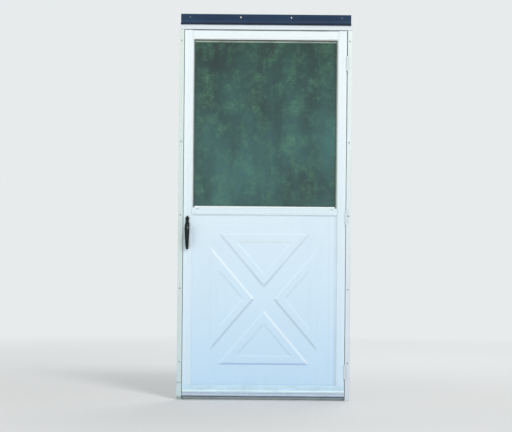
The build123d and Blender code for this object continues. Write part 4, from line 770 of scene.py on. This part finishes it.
def buildFloor():
    look = stageLook
    mesh = bmesh.new()
    cells = look["floorCells"]
    bmesh.ops.create_grid(mesh, x_segments=cells, y_segments=cells, size=look["floorSize"])
    data = bpy.data.meshes.new("studioFloor")
    mesh.to_mesh(data)
    mesh.free()
    floor = bpy.data.objects.new("studioFloor", data)
    bpy.context.scene.collection.objects.link(floor)
    floor.location = (0, 0, cadBounds[0].z - look["floorGap"])
    material, shader = startMaterial("floorPaper")
    fibres = noise(material, objectPlace(material), look["fibreScale"], look["fibreDetail"])
    fibres = spread(material, fibres, *look["fibreRange"])
    colour = blendColour(material, fibres, look["floorColour"], look["fibreColour"])
    setShader(material, shader, Base_Color=colour, Roughness=look["floorRoughness"])
    away = addNode(material, "ShaderNodeVectorMath", {"operation": "LENGTH"})
    feed(material, objectPlace(material), away.inputs[0])
    fade = spread(material, away.outputs["Value"], look["fadeFrom"], look["fadeTo"])
    pale = addNode(material, "ShaderNodeEmission", Color=look["paleColour"])
    mixed = addNode(material, "ShaderNodeMixShader")
    feed(material, fade, mixed.inputs[0])
    feed(material, shader.outputs[0], mixed.inputs[1])
    feed(material, pale.outputs[0], mixed.inputs[2])
    feed(material, mixed.outputs[0], material.node_tree.nodes["Material Output"].inputs[0])
    data.materials.append(material)


# Camera, glass and mirrored rays see the pale colour, and the object is lit by a plain white
def buildWorld():
    world = bpy.data.worlds.new("studioWorld")
    bpy.context.scene.world = world
    world.use_nodes = True
    tree = world.node_tree
    lit = tree.nodes["Background"]
    lit.inputs[0].default_value = (1, 1, 1, 1)
    lit.inputs[1].default_value = stageLook["worldLight"]
    seen = tree.nodes.new("ShaderNodeBackground")
    seen.inputs[0].default_value = (*stageLook["paleColour"], 1)
    rays = tree.nodes.new("ShaderNodeLightPath")
    shown = rays.outputs["Is Camera Ray"]
    for kind in ("Is Transmission Ray", "Is Glossy Ray"):
        either = tree.nodes.new("ShaderNodeMath")
        either.operation = "MAXIMUM"
        tree.links.new(shown, either.inputs[0])
        tree.links.new(rays.outputs[kind], either.inputs[1])
        shown = either.outputs[0]
    mixed = tree.nodes.new("ShaderNodeMixShader")
    tree.links.new(shown, mixed.inputs[0])
    tree.links.new(lit.outputs[0], mixed.inputs[1])
    tree.links.new(seen.outputs[0], mixed.inputs[2])
    tree.links.new(mixed.outputs[0], tree.nodes["World Output"].inputs[0])


# Only the key lamp shows in gloss
lampLooks = {
    "keyLamp": {
        "place": (2.2, -5.2, 7.8), "target": (0, 0, 1.0), "size": 2.0, "power": 335, "mirrored": True,
    },
    "fillLamp": {
        "place": (-3.6, -4.2, 1.4), "target": (0, 0, 0.8), "size": 3.0, "power": 40, "mirrored": False,
    },
    "backLamp": {
        "place": (1.5, 3.6, 3.2), "target": (0, 0, 1.0), "size": 3.0, "power": 70, "mirrored": False,
    },
}


def addLamp(name, look):
    light = bpy.data.lights.new(name, "AREA")
    light.shape = "DISK"
    light.size = look["size"]
    light.energy = look["power"]
    lamp = bpy.data.objects.new(name, light)
    lamp.location = look["place"]
    lamp.visible_glossy = look["mirrored"]
    lamp.rotation_mode = "QUATERNION"
    ahead = Vector(look["target"]) - Vector(look["place"])
    lamp.rotation_quaternion = ahead.to_track_quat("-Z", "Y")
    bpy.context.scene.collection.objects.link(lamp)


cameraLook = {
    "lens": 130, "sensor": 36, "width": 2.785, "aim": (-0.046, 0.0, 1.0), "level": 90, "roll": -0.5,
}


def buildCamera():
    data = bpy.data.cameras.new("doorCamera")
    data.lens = cameraLook["lens"]
    data.sensor_width = cameraLook["sensor"]
    camera = bpy.data.objects.new("doorCamera", data)
    distance = cameraLook["width"] * cameraLook["lens"] / cameraLook["sensor"]
    camera.location = Vector(cameraLook["aim"]) - Vector((0, distance, 0))
    camera.rotation_euler = (math.radians(cameraLook["level"]), math.radians(cameraLook["roll"]), 0)
    bpy.context.scene.collection.objects.link(camera)
    bpy.context.scene.camera = camera


buildFloor()
buildWorld()
for lampName, lampLook in lampLooks.items():
    addLamp(lampName, lampLook)
buildCamera()
bpy.context.scene.view_settings.view_transform = "Standard"
print("stage ready")
